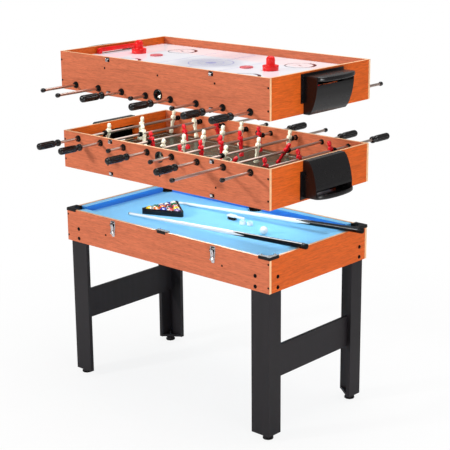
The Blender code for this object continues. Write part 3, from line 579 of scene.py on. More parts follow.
def slab(outline, low, high, rounding=0.0, segments=2):
    """A flat outline in X and Y, standing from low to high, its rims rounded."""
    shape = bmesh.new()
    base = shape.faces.new([shape.verts.new((x, y, low)) for x, y in outline])
    made = bmesh.ops.extrude_face_region(shape, geom=[base])
    corners = [item for item in made["geom"] if isinstance(item, bmesh.types.BMVert)]
    bmesh.ops.translate(shape, verts=corners, vec=(0, 0, high - low))
    if rounding:
        level = rounding / 100
        rims = [edge for edge in shape.edges if abs(edge.verts[0].co.z - edge.verts[1].co.z) < level]
        bmesh.ops.bevel(shape, geom=rims, offset=rounding, segments=segments, profile=0.5, affect="EDGES")
    return shape


def put(shape, matrix):
    bmesh.ops.transform(shape, matrix=matrix, verts=shape.verts)
    if matrix.determinant() < 0:
        bmesh.ops.reverse_faces(shape, faces=shape.faces)
    return shape


def gathered(shapes):
    """Several shapes in one."""
    whole = bmesh.new()
    for shape in shapes:
        mesh = bpy.data.meshes.new("gathered")
        shape.to_mesh(mesh)
        shape.free()
        whole.from_mesh(mesh)
        bpy.data.meshes.remove(mesh)
    return whole


def merged(name, meshes):
    """One mesh of several, each given with its own finishes, and the finishes of them all."""
    whole, finishes = bmesh.new(), []
    for mesh, own in meshes:
        finishes = list(dict.fromkeys(finishes + own))
        start = len(whole.faces)
        whole.from_mesh(mesh)
        whole.faces.ensure_lookup_table()
        for face in whole.faces[start:]:
            face.material_index = finishes.index(own[face.material_index])
        bpy.data.meshes.remove(mesh)
    mesh = bpy.data.meshes.new(name)
    whole.to_mesh(mesh)
    whole.free()
    smoothed(mesh)
    return mesh, finishes


def layered(name, parts):
    """One mesh of several shapes, each given with its finish."""
    return merged(name, [(mesh_of(shape, "layer"), [material]) for shape, material in parts])


def temporary(shape, name):
    item = bpy.data.objects.new(name, mesh_of(shape, name, smooth=False))
    bpy.context.scene.collection.objects.link(item)
    return item


def worked(shape, steps):
    """A shape after solid operations: ("cut" or "join", shape) or ("round", width)."""
    things = [temporary(shape, "worked")]
    for kind, value in steps:
        if kind == "round":
            modifier = things[0].modifiers.new("round", "BEVEL")
            modifier.width = value
            modifier.segments = 2
            modifier.angle_limit = math.radians(38)
            modifier.harden_normals = False
        else:
            modifier = things[0].modifiers.new(kind, "BOOLEAN")
            modifier.operation = "DIFFERENCE" if kind == "cut" else "UNION"
            modifier.solver = "EXACT"
            things.append(temporary(value, "tool"))
            modifier.object = things[-1]
    bpy.context.view_layer.update()
    evaluated = things[0].evaluated_get(bpy.context.evaluated_depsgraph_get())
    made = bmesh.new()
    made.from_mesh(evaluated.data)
    for thing in things:
        bpy.data.objects.remove(thing, do_unlink=True)
    return made


def curved(points, steps=5):
    """Smooth line through the points, in two dimensions."""
    line = []
    for index in range(len(points) - 1):
        before = Vector(points[max(index - 1, 0)])
        start, end = Vector(points[index]), Vector(points[index + 1])
        after = Vector(points[min(index + 2, len(points) - 1)])
        for step in range(steps):
            part = step / steps
            line.append(0.5 * (
                2 * start + (end - before) * part + (2 * before - 5 * start + 4 * end - after) * part ** 2
                + (3 * start - before - 3 * end + after) * part ** 3
            ))
    return [tuple(point) for point in line] + [tuple(points[-1])]


def mirrored(half):
    """Half an outline and its image across the first coordinate's axis."""
    return half + [(x, -y) for x, y in reversed(half)]


def rounded_rectangle(half_x, half_y, corner, steps=4):
    outline = []
    for quarter, (side_x, side_y) in enumerate(((1, 1), (-1, 1), (-1, -1), (1, -1))):
        for step in range(steps + 1):
            angle = math.pi / 2 * (quarter + step / steps)
            outline.append((
                side_x * (half_x - corner) + corner * math.cos(angle),
                side_y * (half_y - corner) + corner * math.sin(angle),
            ))
    return outline


def piece(name, shape, material, body="base", slot="black_plastic", stands_for=(), origin=None, smooth=True):
    """A finished piece of the table that moves with a body of the frame."""
    mesh = shape if isinstance(shape, bpy.types.Mesh) else mesh_of(shape, name, smooth)
    materials = material if isinstance(material, list) else [material]
    for item in materials:
        mesh.materials.append(item)
    mesh.transform(moved(MIDDLE))
    item = bpy.data.objects.new(name, mesh)
    if origin is not None:
        item.location = Vector(origin) + MIDDLE
        mesh.transform(moved(-item.location))
    bpy.context.scene.collection.objects.link(item)
    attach(item, body)
    if stands_for:
        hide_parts(*stands_for)
    return item


def dress(node, material):
    """A CAD node keeps its shape and takes a finish."""
    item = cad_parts[node]
    for slot in item.material_slots:
        slot.material = material


def box_name(box):
    return "foosball" if box is FOOSBALL else "hockey"


def box_body(box):
    return f"{box_name(box)}_box"


class Maker:
    """Shared frame of the operators that make the table's pieces."""

    bl_options = {"REGISTER", "UNDO"}

    def execute(self, context):
        self.make()
        return {"FINISHED"}


# Boards and legs

class TABLE_OT_boards(Maker, bpy.types.Operator):
    """Cherry boards of the base and of both boxes"""

    bl_idname = "game_table.boards"
    bl_label = "Cherry boards"

    def make(self):
        for name in ("base_front_rail", "base_back_rail", "foosball_front_panel", "foosball_back_panel"):
            dress(name, long_cherry_painted_sheen())
        for end, _ in LEFT_RIGHT:
            for name in (f"base_{end}_rail", f"foosball_{end}_panel", f"hockey_{end}_panel"):
                dress(name, end_cherry())


class TABLE_OT_hockey_walls(Maker, bpy.types.Operator):
    """Long walls of the turned-over box, with their ball entries"""

    bl_idname = "game_table.hockey_walls"
    bl_label = "Hockey box long walls"

    def make(self):
        for name, side in FRONT_BACK:
            inner, outer = sorted((side * INNER_SIDE, side * SIDE))
            wall = block((-END, inner, 0), (END, outer, BOX_HEIGHT), sizes().board_edge, 1)
            radius, reach = BALL_ENTRY_RADIUS, 3 * BOARD
            hole = turned([(0, -reach), (radius, -reach), (radius, reach), (0, reach)])
            put(hole, moved((0, side * SIDE, BALL_ENTRY_LEVEL)) @ along_y())
            wall = put(worked(wall, [("cut", hole)]), HOCKEY)
            piece(
                f"hockey_{name}_wall", wall, long_cherry_painted_sheen(), "hockey_box", "cherry_laminate",
                (f"hockey_{name}_panel",), smooth=False,
            )


FOOT_RIM = mm(
    (13.5, 9.8), (16.5, 9.2), (20.5, 8.8), (22.2, 7.2), (22.6, 4.5), (22.4, 1.6), (21.2, 0.4), (19.0, 0.2),
    (12.0, 9.9),
)


class TABLE_OT_legs(Maker, bpy.types.Operator):
    """Charcoal legs and stretchers, and the turned details of the feet"""

    bl_idname = "game_table.legs"
    bl_label = "Legs, stretchers and feet"

    def make(self):
        for column, _ in LEFT_RIGHT:
            for name in (f"leg_front_{column}", f"leg_back_{column}", f"stretcher_{column}"):
                dress(name, charcoal())
        places = [(end * FOOT_PLACE[0], side * FOOT_PLACE[1], 0) for end, side in CORNERS]
        rims = [put(turned(FOOT_RIM, closed=True), moved(place)) for place in places]
        piece("foot_rims", gathered(rims), rubber())


# Billiard bed and pockets

class TABLE_OT_bed(Maker, bpy.types.Operator):
    """Blue cloth over the bed and the cushions"""

    bl_idname = "game_table.bed"
    bl_label = "Billiard bed"

    def make(self):
        dress("billiard_bed", cloth())


# Measured from a corner of the base or, for the middle pockets, from a long rail's outer face
RAIL, CAP_ARM, CAP_DEPTH = 0.012, 0.048, 0.0195
CAP_LOW, CAP_HIGH, CAP_EDGE, CAP_LAP = RIM + 0.0005, RIM + 0.0045, 0.0008, 0.001
MIDDLE_CAP_HALF, MIDDLE_CAP_DEPTH = 0.034, 0.0185
CUSHION_WIDTH, CUSHION_LEVELS = 0.037, mm((0.3, 29), (19, 37), (27.8, 34))
CUSHION_START = RAIL + 0.0005
TIP_START, TIP_CUT, TIP_LENGTH = 0.0751, 0.016, 0.012
TIP_FOLD_LEVELS, TIP_FOLD_SHARE = (BED_TOP + HAIR, RIM - 0.0022), 0.94
TIP_FOLD_END = RAIL + CUSHION_WIDTH - 0.002
POCKET_RADIUS, POCKET_WALL, POCKET_DEPTH, POCKET_INSET = 0.030, 0.003, 0.040, 0.0435
CUP_TOP, CUT_TOP = RIM - 0.007, RIM + 0.010
WINDOW_LOW, WINDOW_HIGH = (-0.05, POCKET_INSET + 0.004, BED_TOP - 0.0002), (0.05, 0.10, CUT_TOP)
FOLD_RADIUS, FOLD_THICKNESS, FOLD_STEPS, FOLD_STEP_DEGREES = 0.0266, 0.0008, 10, 8
FOLD_LEVELS = (BED_TOP - 0.016, BED_TOP + 0.0004)
SKIRT_WALL, SKIRT_REACH, SKIRT_MIDDLE = 0.0018, 0.059, 0.025
SKIRT_LEVELS, SKIRT_EDGE = (RIM - 0.0095, RIM + 0.0015), 0.0005


def skirt(x, y):
    """Edge of a pocket cap, hanging over a board's outer face."""
    return block((min(x), min(y), SKIRT_LEVELS[0]), (max(x), max(y), SKIRT_LEVELS[1]), SKIRT_EDGE, 1)


def pocket_arm():
    """End of a corner cap's arm, at a corner in the plan's first quarter."""
    return block((CAP_ARM - CAP_LAP, -CAP_LAP, CAP_LOW), (SKIRT_REACH, CAP_DEPTH, CAP_HIGH), CAP_EDGE, 1)


def cushion_tip():
    """End of a cushion beside a corner pocket, at a corner in the plan's first quarter."""
    shape = bmesh.new()
    for level, width in CUSHION_LEVELS:
        cut = TIP_CUT * width / CUSHION_WIDTH - HAIR
        for start, y in ((-HAIR, CUSHION_START), (cut, RAIL + width)):
            shape.verts.new((TIP_START + max(start, 0) - TIP_LENGTH, y, BED_TOP + level))
            shape.verts.new((TIP_START + start, y, BED_TOP + level))
    bmesh.ops.convex_hull(shape, input=shape.verts)
    return shape


def tip_fold():
    """Cloth glued over the end of a cushion tip."""
    rows = []
    for share, y in ((0, CUSHION_START), (TIP_FOLD_SHARE, TIP_FOLD_END)):
        x = TIP_START - TIP_LENGTH + TIP_CUT * share
        rows.append([(x - 0.0012, y), (x - 0.0004, y)])
    return slab(rows[0] + rows[1][::-1], *TIP_FOLD_LEVELS, 0.0002, 1)


def round_outline(radius, steps=48):
    return [(point.x, point.y + POCKET_INSET) for point in ring_points(radius, 0, steps)]


def middle_pocket():
    """Cap and cup of a middle pocket, from the middle of a long rail's outer face towards +Y."""
    floor = BED_TOP - POCKET_DEPTH
    cup = slab(round_outline(POCKET_RADIUS), floor, CUP_TOP)
    room = slab(round_outline(POCKET_RADIUS - POCKET_WALL), floor + POCKET_WALL, CUT_TOP)
    cap = block(
        (-MIDDLE_CAP_HALF, -CAP_LAP, CAP_LOW), (MIDDLE_CAP_HALF, MIDDLE_CAP_DEPTH, CAP_HIGH), CAP_EDGE, 1
    )
    return gathered([worked(cup, [("cut", room), ("cut", block(WINDOW_LOW, WINDOW_HIGH))]), cap])


def pocket_fold(end, side):
    """Cloth folded down inside a pocket, on the bed's side."""
    centre = Vector((end * (END - POCKET_INSET), side * (SIDE - POCKET_INSET)))
    middle = math.atan2(-side, -end)
    outline = []
    for radius, way in ((FOLD_RADIUS, 1), (FOLD_RADIUS - FOLD_THICKNESS, -1)):
        for step in range(-FOLD_STEPS, FOLD_STEPS + 1):
            angle = middle + math.radians(FOLD_STEP_DEGREES * step * way)
            outline.append(centre + radius * Vector((math.cos(angle), math.sin(angle))))
    return slab(outline, *FOLD_LEVELS)


class TABLE_OT_pockets(Maker, bpy.types.Operator):
    """Black pocket castings"""

    bl_idname = "game_table.pockets"
    bl_label = "Pockets"

    def make(self):
        for row, side in FRONT_BACK:
            for column, _ in LEFT_RIGHT:
                dress(f"pocket_{row}_{column}", matt_black())
            at = moved((0, side * SIDE, 0)) @ Matrix.Diagonal((1, -side, 1, 1))
            piece(
                f"middle_pocket_{row}", put(middle_pocket(), at), matt_black(),
                stands_for=(f"pocket_{row}_middle",),
            )
        skirts = []
        for side in ENDS:
            outer, inner = side * (SIDE + SKIRT_WALL), side * (SIDE - SKIRT_REACH)
            for x in (-SKIRT_MIDDLE, SKIRT_MIDDLE), (SKIRT_REACH - END, -END), (END, END - SKIRT_REACH):
                skirts.append(skirt(x, (side * SIDE, outer)))
            for end in ENDS:
                skirts.append(skirt((end * (END + SKIRT_WALL), end * END), (outer, inner)))
        piece("pocket_skirts", gathered(skirts), matt_black())
        arms, tips = [], []
        folds = [pocket_fold(end, side) for end in (-1, 0, 1) for side in ENDS]
        for end, side in CORNERS:
            corner = moved((end * END, side * SIDE, 0)) @ Matrix.Diagonal((-end, -side, 1, 1))
            for way in (corner, corner @ SWAP_X_AND_Y):
                arms.append(put(pocket_arm(), way))
                tips.append(put(cushion_tip(), way))
                if end > 0:
                    folds.append(put(tip_fold(), way))
        piece("pocket_arms", gathered(arms), matt_black())
        piece("cushion_tips", gathered(tips), cloth(), slot="blue_cloth")
        piece("pocket_folds", gathered(folds), pale_cloth(), slot="blue_cloth")


# Fasteners

# Places across, and rises above the bottom of an apron or a box
SCREW_SPREAD, SCREW_INSET, SCREW_RISE, END_SCREW_RISES = 0.03, 0.006, 0.068, (0.025, 0.123)
BOLT_X, BOLT_Y, BOLT_RISES = 0.530, 0.273, (0.018, 0.063)
BOX_SCREW_RISE, BOX_SCREW_INSET, BOX_END_RISES = 0.049, 0.007, (0.038, 0.128)


def screw_head(radius):
    """Domed screw head on Z 0 with a round recess."""
    rise, recess = radius * 0.42, radius * 0.45
    return turned([
        (0, rise * 0.45), (recess, rise * 0.5), (recess, rise), (radius * 0.8, rise * 0.75),
        (radius, rise * 0.2), (radius, 0), (0, 0),
    ], 16)


def screws(places, radius):
    """Screw heads: each place is a point, the axis it faces along and the side."""
    heads = []
    for point, axis, side in places:
        way = along_y(side) if axis == "Y" else turned_about("Y", 90 * side)
        heads.append(put(screw_head(radius), moved(point) @ way))
    return gathered(heads)


class TABLE_OT_fasteners(Maker, bpy.types.Operator):
    """Screws of the boards and bolts of the legs"""

    bl_idname = "game_table.fasteners"
    bl_label = "Screws and bolts"

    def make(self):
        small, large = sizes().screw_head, sizes().bolt_head
        level, spread = APRON_BOTTOM, SCREW_PLACE + SCREW_SPREAD
        base = []
        for side in ENDS:
            base += [((x, side * SIDE, level + SCREW_RISE), "Y", side) for x in (-spread, spread)]
            for end in ENDS:
                x = end * (END - SCREW_INSET)
                base += [((x, side * SIDE, level + rise), "Y", side) for rise in END_SCREW_RISES]
        piece("base_screws", screws(base, small), dark_steel())
        bolts = []
        for end, side in CORNERS:
            for rise in BOLT_RISES:
                bolts.append(((end * BOLT_X, side * SIDE, level + rise), "Y", side))
                bolts.append(((end * END, side * BOLT_Y, level + rise), "X", end))
        piece("leg_bolts", screws(bolts, large), dark_steel())
        for box in BOXES:
            places = []
            for side in ENDS:
                row = (-SCREW_PLACE, 0, SCREW_PLACE)
                places += [((x, side * SIDE, BOX_SCREW_RISE), "Y", side) for x in row]
                for end in ENDS:
                    x = end * (END - BOX_SCREW_INSET)
                    places += [((x, side * SIDE, rise), "Y", side) for rise in BOX_END_RISES]
            piece(f"{box_name(box)}_screws", put(screws(places, small), box), dark_steel(), box_body(box))


# Latches and catches

LATCH_PIN = 0.0065
LEVER_HALF, LEVER_EDGE = 0.0082, 0.0006
# Reach from the board and height from the pin
LEVER_PROFILE = mm(
    (3.0, 2.0), (7.8, 2.5), (8.6, -3.0), (7.6, -10.0), (7.2, -18.0), (7.8, -26.0), (10.0, -33.0),
    (12.8, -37.5), (12.6, -40.5), (11.2, -40.8), (8.5, -36.0), (6.2, -28.0), (5.2, -18.0), (5.0, -8.0),
    (3.6, -2.0),
)
LEVER_RIB = mm((-2.2, -3.2, -31), (2.2, -0.4, -6))
KNUCKLE = mm((0, -9.2), (4.0, -9.2), (4.6, -8.4), (4.6, 8.4), (4.0, 9.2), (0, 9.2))
PLATE_HALF = mm((11, 18), (13.5, 17), (14, 15), (14, -6), (9.5, -48), (7.5, -53), (4, -55))
PLATE_RIM = mm((11.2, 14), (12.8, 14), (9.6, -46), (8.0, -46))
PLATE_THICKNESS, RIM_THICKNESS = 0.0014, 0.0034
LOOP, LOOP_PLACE = mm((7.5, -0.8), (8.3, 0), (7.5, 0.8), (6.7, 0)), (0, 0.0085, 0.0055)
EAR_PLACE, EAR = 0.0102, mm((-0.5, -9.8, -6.0), (0.5, 0, 6.0))
BRIDGE = mm((-10.5, -3.0, 9.5), (10.5, -1.4, 15.0))


class TABLE_OT_latches(Maker, bpy.types.Operator):
    """Chromed latches that hold a box on the base"""

    bl_idname = "game_table.latches"
    bl_label = "Latches"

    def make(self):
        for name, end in LEFT_RIGHT:
            place = moved((end * LATCH_PLACE, -SIDE, RIM - LATCH_DROP))
            lever = put(self.lever(), place @ moved((0, -LATCH_PIN, 0)))
            piece(
                f"latch_{name}", lever, plated_steel(), f"latch_{name}", "chromed_steel",
                (f"latch_lever_{name}",),
            )
            mesh, finishes = layered(f"latch_plate_{name}", self.plate())
            mesh.transform(place)
            piece(f"latch_plate_{name}", mesh, finishes, "base", "chromed_steel")

    def lever(self):
        """Pull lever about its pin, hanging down, facing -Y."""
        outline = [(reach - LATCH_PIN, height) for reach, height in LEVER_PROFILE]
        lever = slab(outline, -LEVER_HALF, LEVER_HALF, LEVER_EDGE, 2)
        put(lever, Matrix.Diagonal((1, -1, 1, 1)) @ PROFILE_ACROSS_X)
        knuckle = put(turned(KNUCKLE, 20), turned_about("Y", 90))
        return gathered([lever, block(*LEVER_RIB, 0.0008, 2), knuckle])

    def plate(self):
        """Plate, raised rims and loop, and the dark bracket with its ears, with their finishes."""
        plate = slab(PLATE_HALF + [(-x, z) for x, z in reversed(PLATE_HALF)], 0, PLATE_THICKNESS, 0.0003)
        rims = [slab(PLATE_RIM, 0, RIM_THICKNESS, 0.0003, 1)]
        rims.append(put(rims[0].copy(), MIRROR_X))
        loop = put(turned(LOOP, 20, closed=True), moved(LOOP_PLACE))
        stand = put(gathered([plate, loop] + rims), turned_about("X", 90))
        ears = [put(block(*EAR, 0.0003, 1), moved((side * EAR_PLACE, 0, 0))) for side in ENDS]
        bracket = gathered(ears + [block(*BRIDGE, 0.0004, 1)])
        return (stand, plated_steel()), (bracket, dark_steel())


CATCH_LEVEL, CATCH_THICKNESS = 0.0115, 0.0012
CATCH_PLATE = (0.0120, 0.0090, 0.0022)
HOOK_HALF, HOOK = 0.0066, mm(
    (1.0, -5.0), (6.2, -3.0), (8.0, 2.0), (7.4, 8.0), (6.0, 8.2), (5.8, 3.0), (4.4, -0.4), (1.0, -1.6),
)
CATCH_SCREW, CATCH_SCREW_PLACE = 0.0022, (0.0088, CATCH_THICKNESS, -0.0052)


def catch():
    """Back plate, blackened as painted shade under the hook, and chromed hook of a catch; X across, Z up,
    facing +Y, the hook at the top.
    """
    plate = put(slab(rounded_rectangle(*CATCH_PLATE), 0, CATCH_THICKNESS, 0.0003), along_y())
    hook = put(slab(HOOK, -HOOK_HALF, HOOK_HALF, 0.0004, 1), PROFILE_ACROSS_X)
    x, y, z = CATCH_SCREW_PLACE
    heads = [put(screw_head(CATCH_SCREW), moved((side * x, y, z)) @ along_y()) for side in ENDS]
    return plate, gathered([hook] + heads)


class TABLE_OT_catches(Maker, bpy.types.Operator):
    """Chromed catches along both edges of each box"""

    bl_idname = "game_table.catches"
    bl_label = "Catches"

    def make(self):
        for box in BOXES:
            outside = -1 if box is FOOSBALL else 1
            shade_plates, hooks = [], []
            for x in (-LATCH_PLACE, LATCH_PLACE):
                for level, upside_down in ((CATCH_LEVEL, 0), (BOX_HEIGHT - CATCH_LEVEL, 180)):
                    place = moved((x, outside * SIDE, level)) @ half_turn(outside)
                    place = place @ turned_about("Y", upside_down)
                    plate, hook = catch()
                    shade_plates.append(put(plate, place))
                    hooks.append(put(hook, place))
            name = f"{box_name(box)}_catches"
            # Painted shade: the blackened back plates stand in for the shade under the hooks
            parts = [(gathered(shade_plates), dark_steel()), (gathered(hooks), plated_steel())]
            mesh, finishes = layered(name, parts)
            mesh.transform(box)
            piece(name, mesh, finishes, box_body(box), "chromed_steel")


# Balls and rack

BALL_RADIUS, BALL_BITE = 0.0175, 0.0006
CUE_BALL_PLACE = (0.293, 0.006, BED_TOP + HAIR + BALL_RADIUS)
RACK_ROWS, RACK_WALL, RACK_HEIGHT, RACK_CUT, RACK_EDGE = 5, 0.004, 0.0265, 0.012, 0.001
RACK_FRAME = moved((-0.355, -0.105, BED_TOP + HAIR)) @ turned_about("Z", 22)
RACK_CORNER = Vector((math.sqrt(3) * RACK_WALL, RACK_WALL, 0))
# How far along X from a ball's middle, and from its equator, the white and the black begin
SPOT_START, NUMBER_START, STRIPE_HALF = 0.90, 0.985, 0.56
BALL_COLOURS = {
    "yellow": (0.97, 0.80, 0.10), "blue": (0.10, 0.18, 0.62), "scarlet": (0.88, 0.12, 0.10),
    "purple": (0.36, 0.14, 0.50), "orange": (0.96, 0.46, 0.08), "green": (0.05, 0.42, 0.20),
    "maroon": (0.52, 0.08, 0.10), "black": (0.05, 0.05, 0.06), "white": (0.95, 0.93, 0.87),
}
# Rows from the long side of the rack to its far corner: colour and striped or not
RACK_ORDER = (
    ("yellow", False), ("orange", True), ("blue", False), ("scarlet", True), ("purple", False),
    ("green", True), ("orange", False), ("black", False), ("yellow", True),
    ("purple", True), ("maroon", False), ("scarlet", False),
    ("blue", True), ("green", False),
    ("maroon", True),
)


def rack_outline(side, steps=4):
    """Triangle with rounded corners, its lower left corner at the origin."""
    corners = [Vector((0, 0)), Vector((side, 0)), Vector((side / 2, side * math.sqrt(3) / 2))]
    outline = []
    for index, corner in enumerate(corners):
        start = corner + (corners[index - 1] - corner).normalized() * RACK_CUT
        end = corner + (corners[(index + 1) % 3] - corner).normalized() * RACK_CUT
        middle = (start + end) / 2 + (corner - (start + end) / 2) * 0.12
        for step in range(steps + 1):
            part = step / steps
            outline.append(start * (1 - part) ** 2 + middle * 2 * part * (1 - part) + end * part ** 2)
    return outline


def numbered_ball(colour, striped, place):
    """A ball, coloured or white with a band, with a white spot and its number on either side."""
    finishes = [ball_finish(f"ball_{name}", BALL_COLOURS[name]) for name in (colour, "white", "black")]
    shape = bmesh.new()
    bmesh.ops.create_uvsphere(shape, u_segments=32, v_segments=24, radius=BALL_RADIUS)
    for face in shape.faces:
        centre = face.calc_center_median().normalized()
        if abs(centre.x) > SPOT_START or striped and abs(centre.z) > STRIPE_HALF:
            face.material_index = 1
        if abs(centre.x) > NUMBER_START:
            face.material_index = 2
    put(shape, place)
    mesh = bpy.data.meshes.new("ball")
    shape.to_mesh(mesh)
    shape.free()
    return mesh, finishes


class TABLE_OT_racked_balls(Maker, bpy.types.Operator):
    """Fifteen coloured balls, solid and striped, in the rack"""

    bl_idname = "game_table.racked_balls"
    bl_label = "Racked balls"

    def make(self):
        spacing = 2 * BALL_RADIUS - BALL_BITE
        start = RACK_CORNER + Vector((BALL_RADIUS * math.sqrt(3) + HAIR, BALL_RADIUS + HAIR, BALL_RADIUS))
        places = [(index, row) for row in range(RACK_ROWS) for index in range(RACK_ROWS - row)]
        balls = []
        for number, (index, row) in enumerate(places):
            step = Vector((spacing * (index + row / 2), spacing * row * math.sqrt(3) / 2, 0))
            turn = Matrix.Rotation(0.9 * number + 0.4, 4, "Z") @ Matrix.Rotation(0.7 + 1.3 * number, 4, "X")
            turn = turn @ Matrix.Rotation(0.5 * number - 0.9, 4, "Y")
            balls.append(numbered_ball(*RACK_ORDER[number], moved(start + step) @ turn))
        mesh, finishes = merged("racked_balls", balls)
        mesh.transform(RACK_FRAME)
        piece("fifteen_balls", mesh, finishes, "racked_balls", "ball_resin", ("racked_balls",))


class TABLE_OT_rack(Maker, bpy.types.Operator):
    """Triangular ball rack with rounded corners"""

    bl_idname = "game_table.rack"
    bl_label = "Ball rack"

    def make(self):
        inner = (2 * BALL_RADIUS) * (RACK_ROWS - 1 + math.sqrt(3)) + 2 * HAIR
        outline = rack_outline(inner + 2 * math.sqrt(3) * RACK_WALL)
        hollow = [point + RACK_CORNER.xy for point in rack_outline(inner)]
        centre = sum(outline, Vector((0, 0))) / len(outline)
        levels = ((0, RACK_EDGE), (RACK_EDGE, 0), (RACK_HEIGHT - RACK_EDGE, 0), (RACK_HEIGHT, RACK_EDGE))

        def ring(points, level, draw):
            return [Vector((*(point - (point - centre).normalized() * draw), level)) for point in points]

        rings = [ring(outline, level, draw) for level, draw in levels]
        rings += [ring(hollow, level, -draw) for level, draw in reversed(levels)]
        shape = put(skinned(rings, closed=True), RACK_FRAME)
        piece("triangle_rack", shape, black_plastic(), "ball_rack", stands_for=("ball_rack",))


class TABLE_OT_cue_ball(Maker, bpy.types.Operator):
    """White cue ball"""

    bl_idname = "game_table.cue_ball"
    bl_label = "Cue ball"

    def make(self):
        shape = bmesh.new()
        bmesh.ops.create_uvsphere(shape, u_segments=40, v_segments=28, radius=BALL_RADIUS)
        put(shape, moved(CUE_BALL_PLACE))
        white = ball_finish("cue_ball_white", (0.97, 0.96, 0.93))
        piece("white_ball", shape, white, "cue_ball", "ball_resin", ("cue_ball",), CUE_BALL_PLACE)


# Cues, chalk and brush

CUE_LENGTH, CUE_TIP, CUE_BUTT, CUE_SIDES = 1.03, 0.0055, 0.0125, 32
CUE_JOINT, CUE_MIDDLE = 0.62 * CUE_LENGTH, 0.80 * CUE_BUTT
CUE_LIFT, CUE_REST_INSET = HAIR + 0.0006, 0.034
TIP_PROFILE = mm((0, 0), (3.8, 0.2), (5.0, 1.2), (5.4, 3.0), (5.4, 6.0), (0, 6.0))
FERRULE_START, FERRULE_END = 0.006, 0.016
SPLICE_LENGTH, SPLICE_POINTS, SPLICE_ROOM = 0.085, 4, 0.01
BUTT_END, BUTT_CUFF = CUE_LENGTH - 0.022, CUE_LENGTH - 0.012
# Radius and distance from the butt's end, up to the middle of the end
BUMPER_PROFILE = mm((12.5, 10.0), (12.5, 4.0), (11.0, 0.8), (7.0, 0), (0, 0))
# Distance from the splice's end and rise over the cue
SILVER_RING = mm((50, 0.1), (51, 0.3), (54, 0.3), (55, 0.1), (52.5, -1.0))
# Name, tip's place, heading in degrees and start of the splice
CUES = (("cue_front", (-0.384, -0.149), 0.6, 0.62), ("cue_back", (-0.345, 0.136), 3.1, 0.68))


def cue_radius(distance):
    if distance < CUE_JOINT:
        return CUE_TIP + (CUE_MIDDLE - CUE_TIP) * distance / CUE_JOINT
    return CUE_MIDDLE + (CUE_BUTT - CUE_MIDDLE) * (distance - CUE_JOINT) / (CUE_LENGTH - CUE_JOINT)


def cue_rings(*distances):
    return [ring_points(cue_radius(distance), distance, CUE_SIDES) for distance in distances]


def cue_matrix(tip, turn_degrees):
    """Lays a cue with its tip on the cloth and its butt on the end rail."""
    rest = (INNER_END - CUE_REST_INSET - tip[0]) / math.cos(math.radians(turn_degrees))
    low = BED_TOP + CUE_TIP + CUE_LIFT
    high = RIM + cue_radius(rest) + CUE_LIFT
    rise = math.atan2(high - low, rest)
    way = turned_about("Z", turn_degrees) @ Matrix.Rotation(math.pi / 2 - rise, 4, "Y")
    return moved((*tip, low)) @ way


def splice_ring(start):
    """Where the shaft and the butt meet, in long points round the cue."""
    ring = []
    for step in range(CUE_SIDES):
        distance = start + SPLICE_LENGTH * abs(((step / CUE_SIDES * SPLICE_POINTS) % 1) * 2 - 1)
        ring.append(ring_points(cue_radius(distance), distance, CUE_SIDES)[step])
    return ring


def cue_shapes(splice_start):
    """Cue along +Z from its tip: tip, ferrule, shaft, butt, bumper and ring."""
    meeting = splice_ring(splice_start)
    butt_start = splice_start + SPLICE_LENGTH + SPLICE_ROOM
    thick = cue_radius(butt_start)
    bumper = [(cue_radius(distance), distance) for distance in (BUTT_END, BUTT_CUFF)]
    bumper += [(radius, CUE_LENGTH - distance) for radius, distance in BUMPER_PROFILE]
    ring = [(thick + rise, butt_start + distance) for distance, rise in SILVER_RING]
    return (
        turned(TIP_PROFILE, 24),
        skinned(cue_rings(FERRULE_START, FERRULE_END)),
        skinned(cue_rings(FERRULE_END, 0.2, 0.4, splice_start - SPLICE_ROOM) + [meeting]),
        skinned([meeting] + cue_rings(butt_start, 0.93, BUTT_END)),
        turned(bumper, CUE_SIDES),
        turned(ring, CUE_SIDES, closed=True),
    )


class TABLE_OT_cues(Maker, bpy.types.Operator):
    """Two cues with white shafts and black butts joined in points"""

    bl_idname = "game_table.cues"
    bl_label = "Cues"

    def make(self):
        finishes = (
            ink("cue_tip_leather", (0.24, 0.34, 0.48), 0.85),
            ink("cue_ferrule", (0.96, 0.95, 0.90), 0.3),
            cue_lacquer("cue_white_lacquer", (0.99, 0.98, 0.95), 0.22, 0.5),
            cue_lacquer("cue_black_lacquer", (0.02, 0.02, 0.025), 0.07, 0.25),
            rubber(),
            plated_steel(),
        )
        for name, tip, turn, splice_start in CUES:
            mesh, used = layered(name, zip(cue_shapes(splice_start), finishes))
            mesh.transform(cue_matrix(tip, turn))
            piece(f"{name}_stick", mesh, used, name, "shaft_lacquer", (name,))


CHALK_CUBE, CHALK_EDGE = mm((-10, -10, 0), (10, 10, 16)), 0.0006
CHALK_HOLLOW = mm((0, 17.2), (3.0, 17.4), (5.2, 18.4), (7.0, 19.8))
CHALK_HALF, CHALK_CORNER, CHALK_RIM = 0.0093, 0.0122, ((1.0, 0.0199), (1.03, 0.0190), (1.0, 0.0155))
# Name, place, heading in degrees and the node that it stands for
CHALKS = (
    ("chalk_near", (0.122, 0.062), 8, ("chalk_cube",)), ("chalk_far", (0.156, 0.072), -12, ()),
)


def chalk_top(sides=32):
    """Worn hollow of a chalk cube and the square rim about it."""
    rings = [ring_points(radius, height, sides) for radius, height in CHALK_HOLLOW]
    for share, height in CHALK_RIM:
        rim = []
        for along in ring_points(1, 0, sides):
            reach = CHALK_HALF * share / max(abs(along.x), abs(along.y))
            rim.append(along * min(reach, CHALK_CORNER) + Vector((0, 0, height)))
        rings.append(rim)
    return skinned(rings)


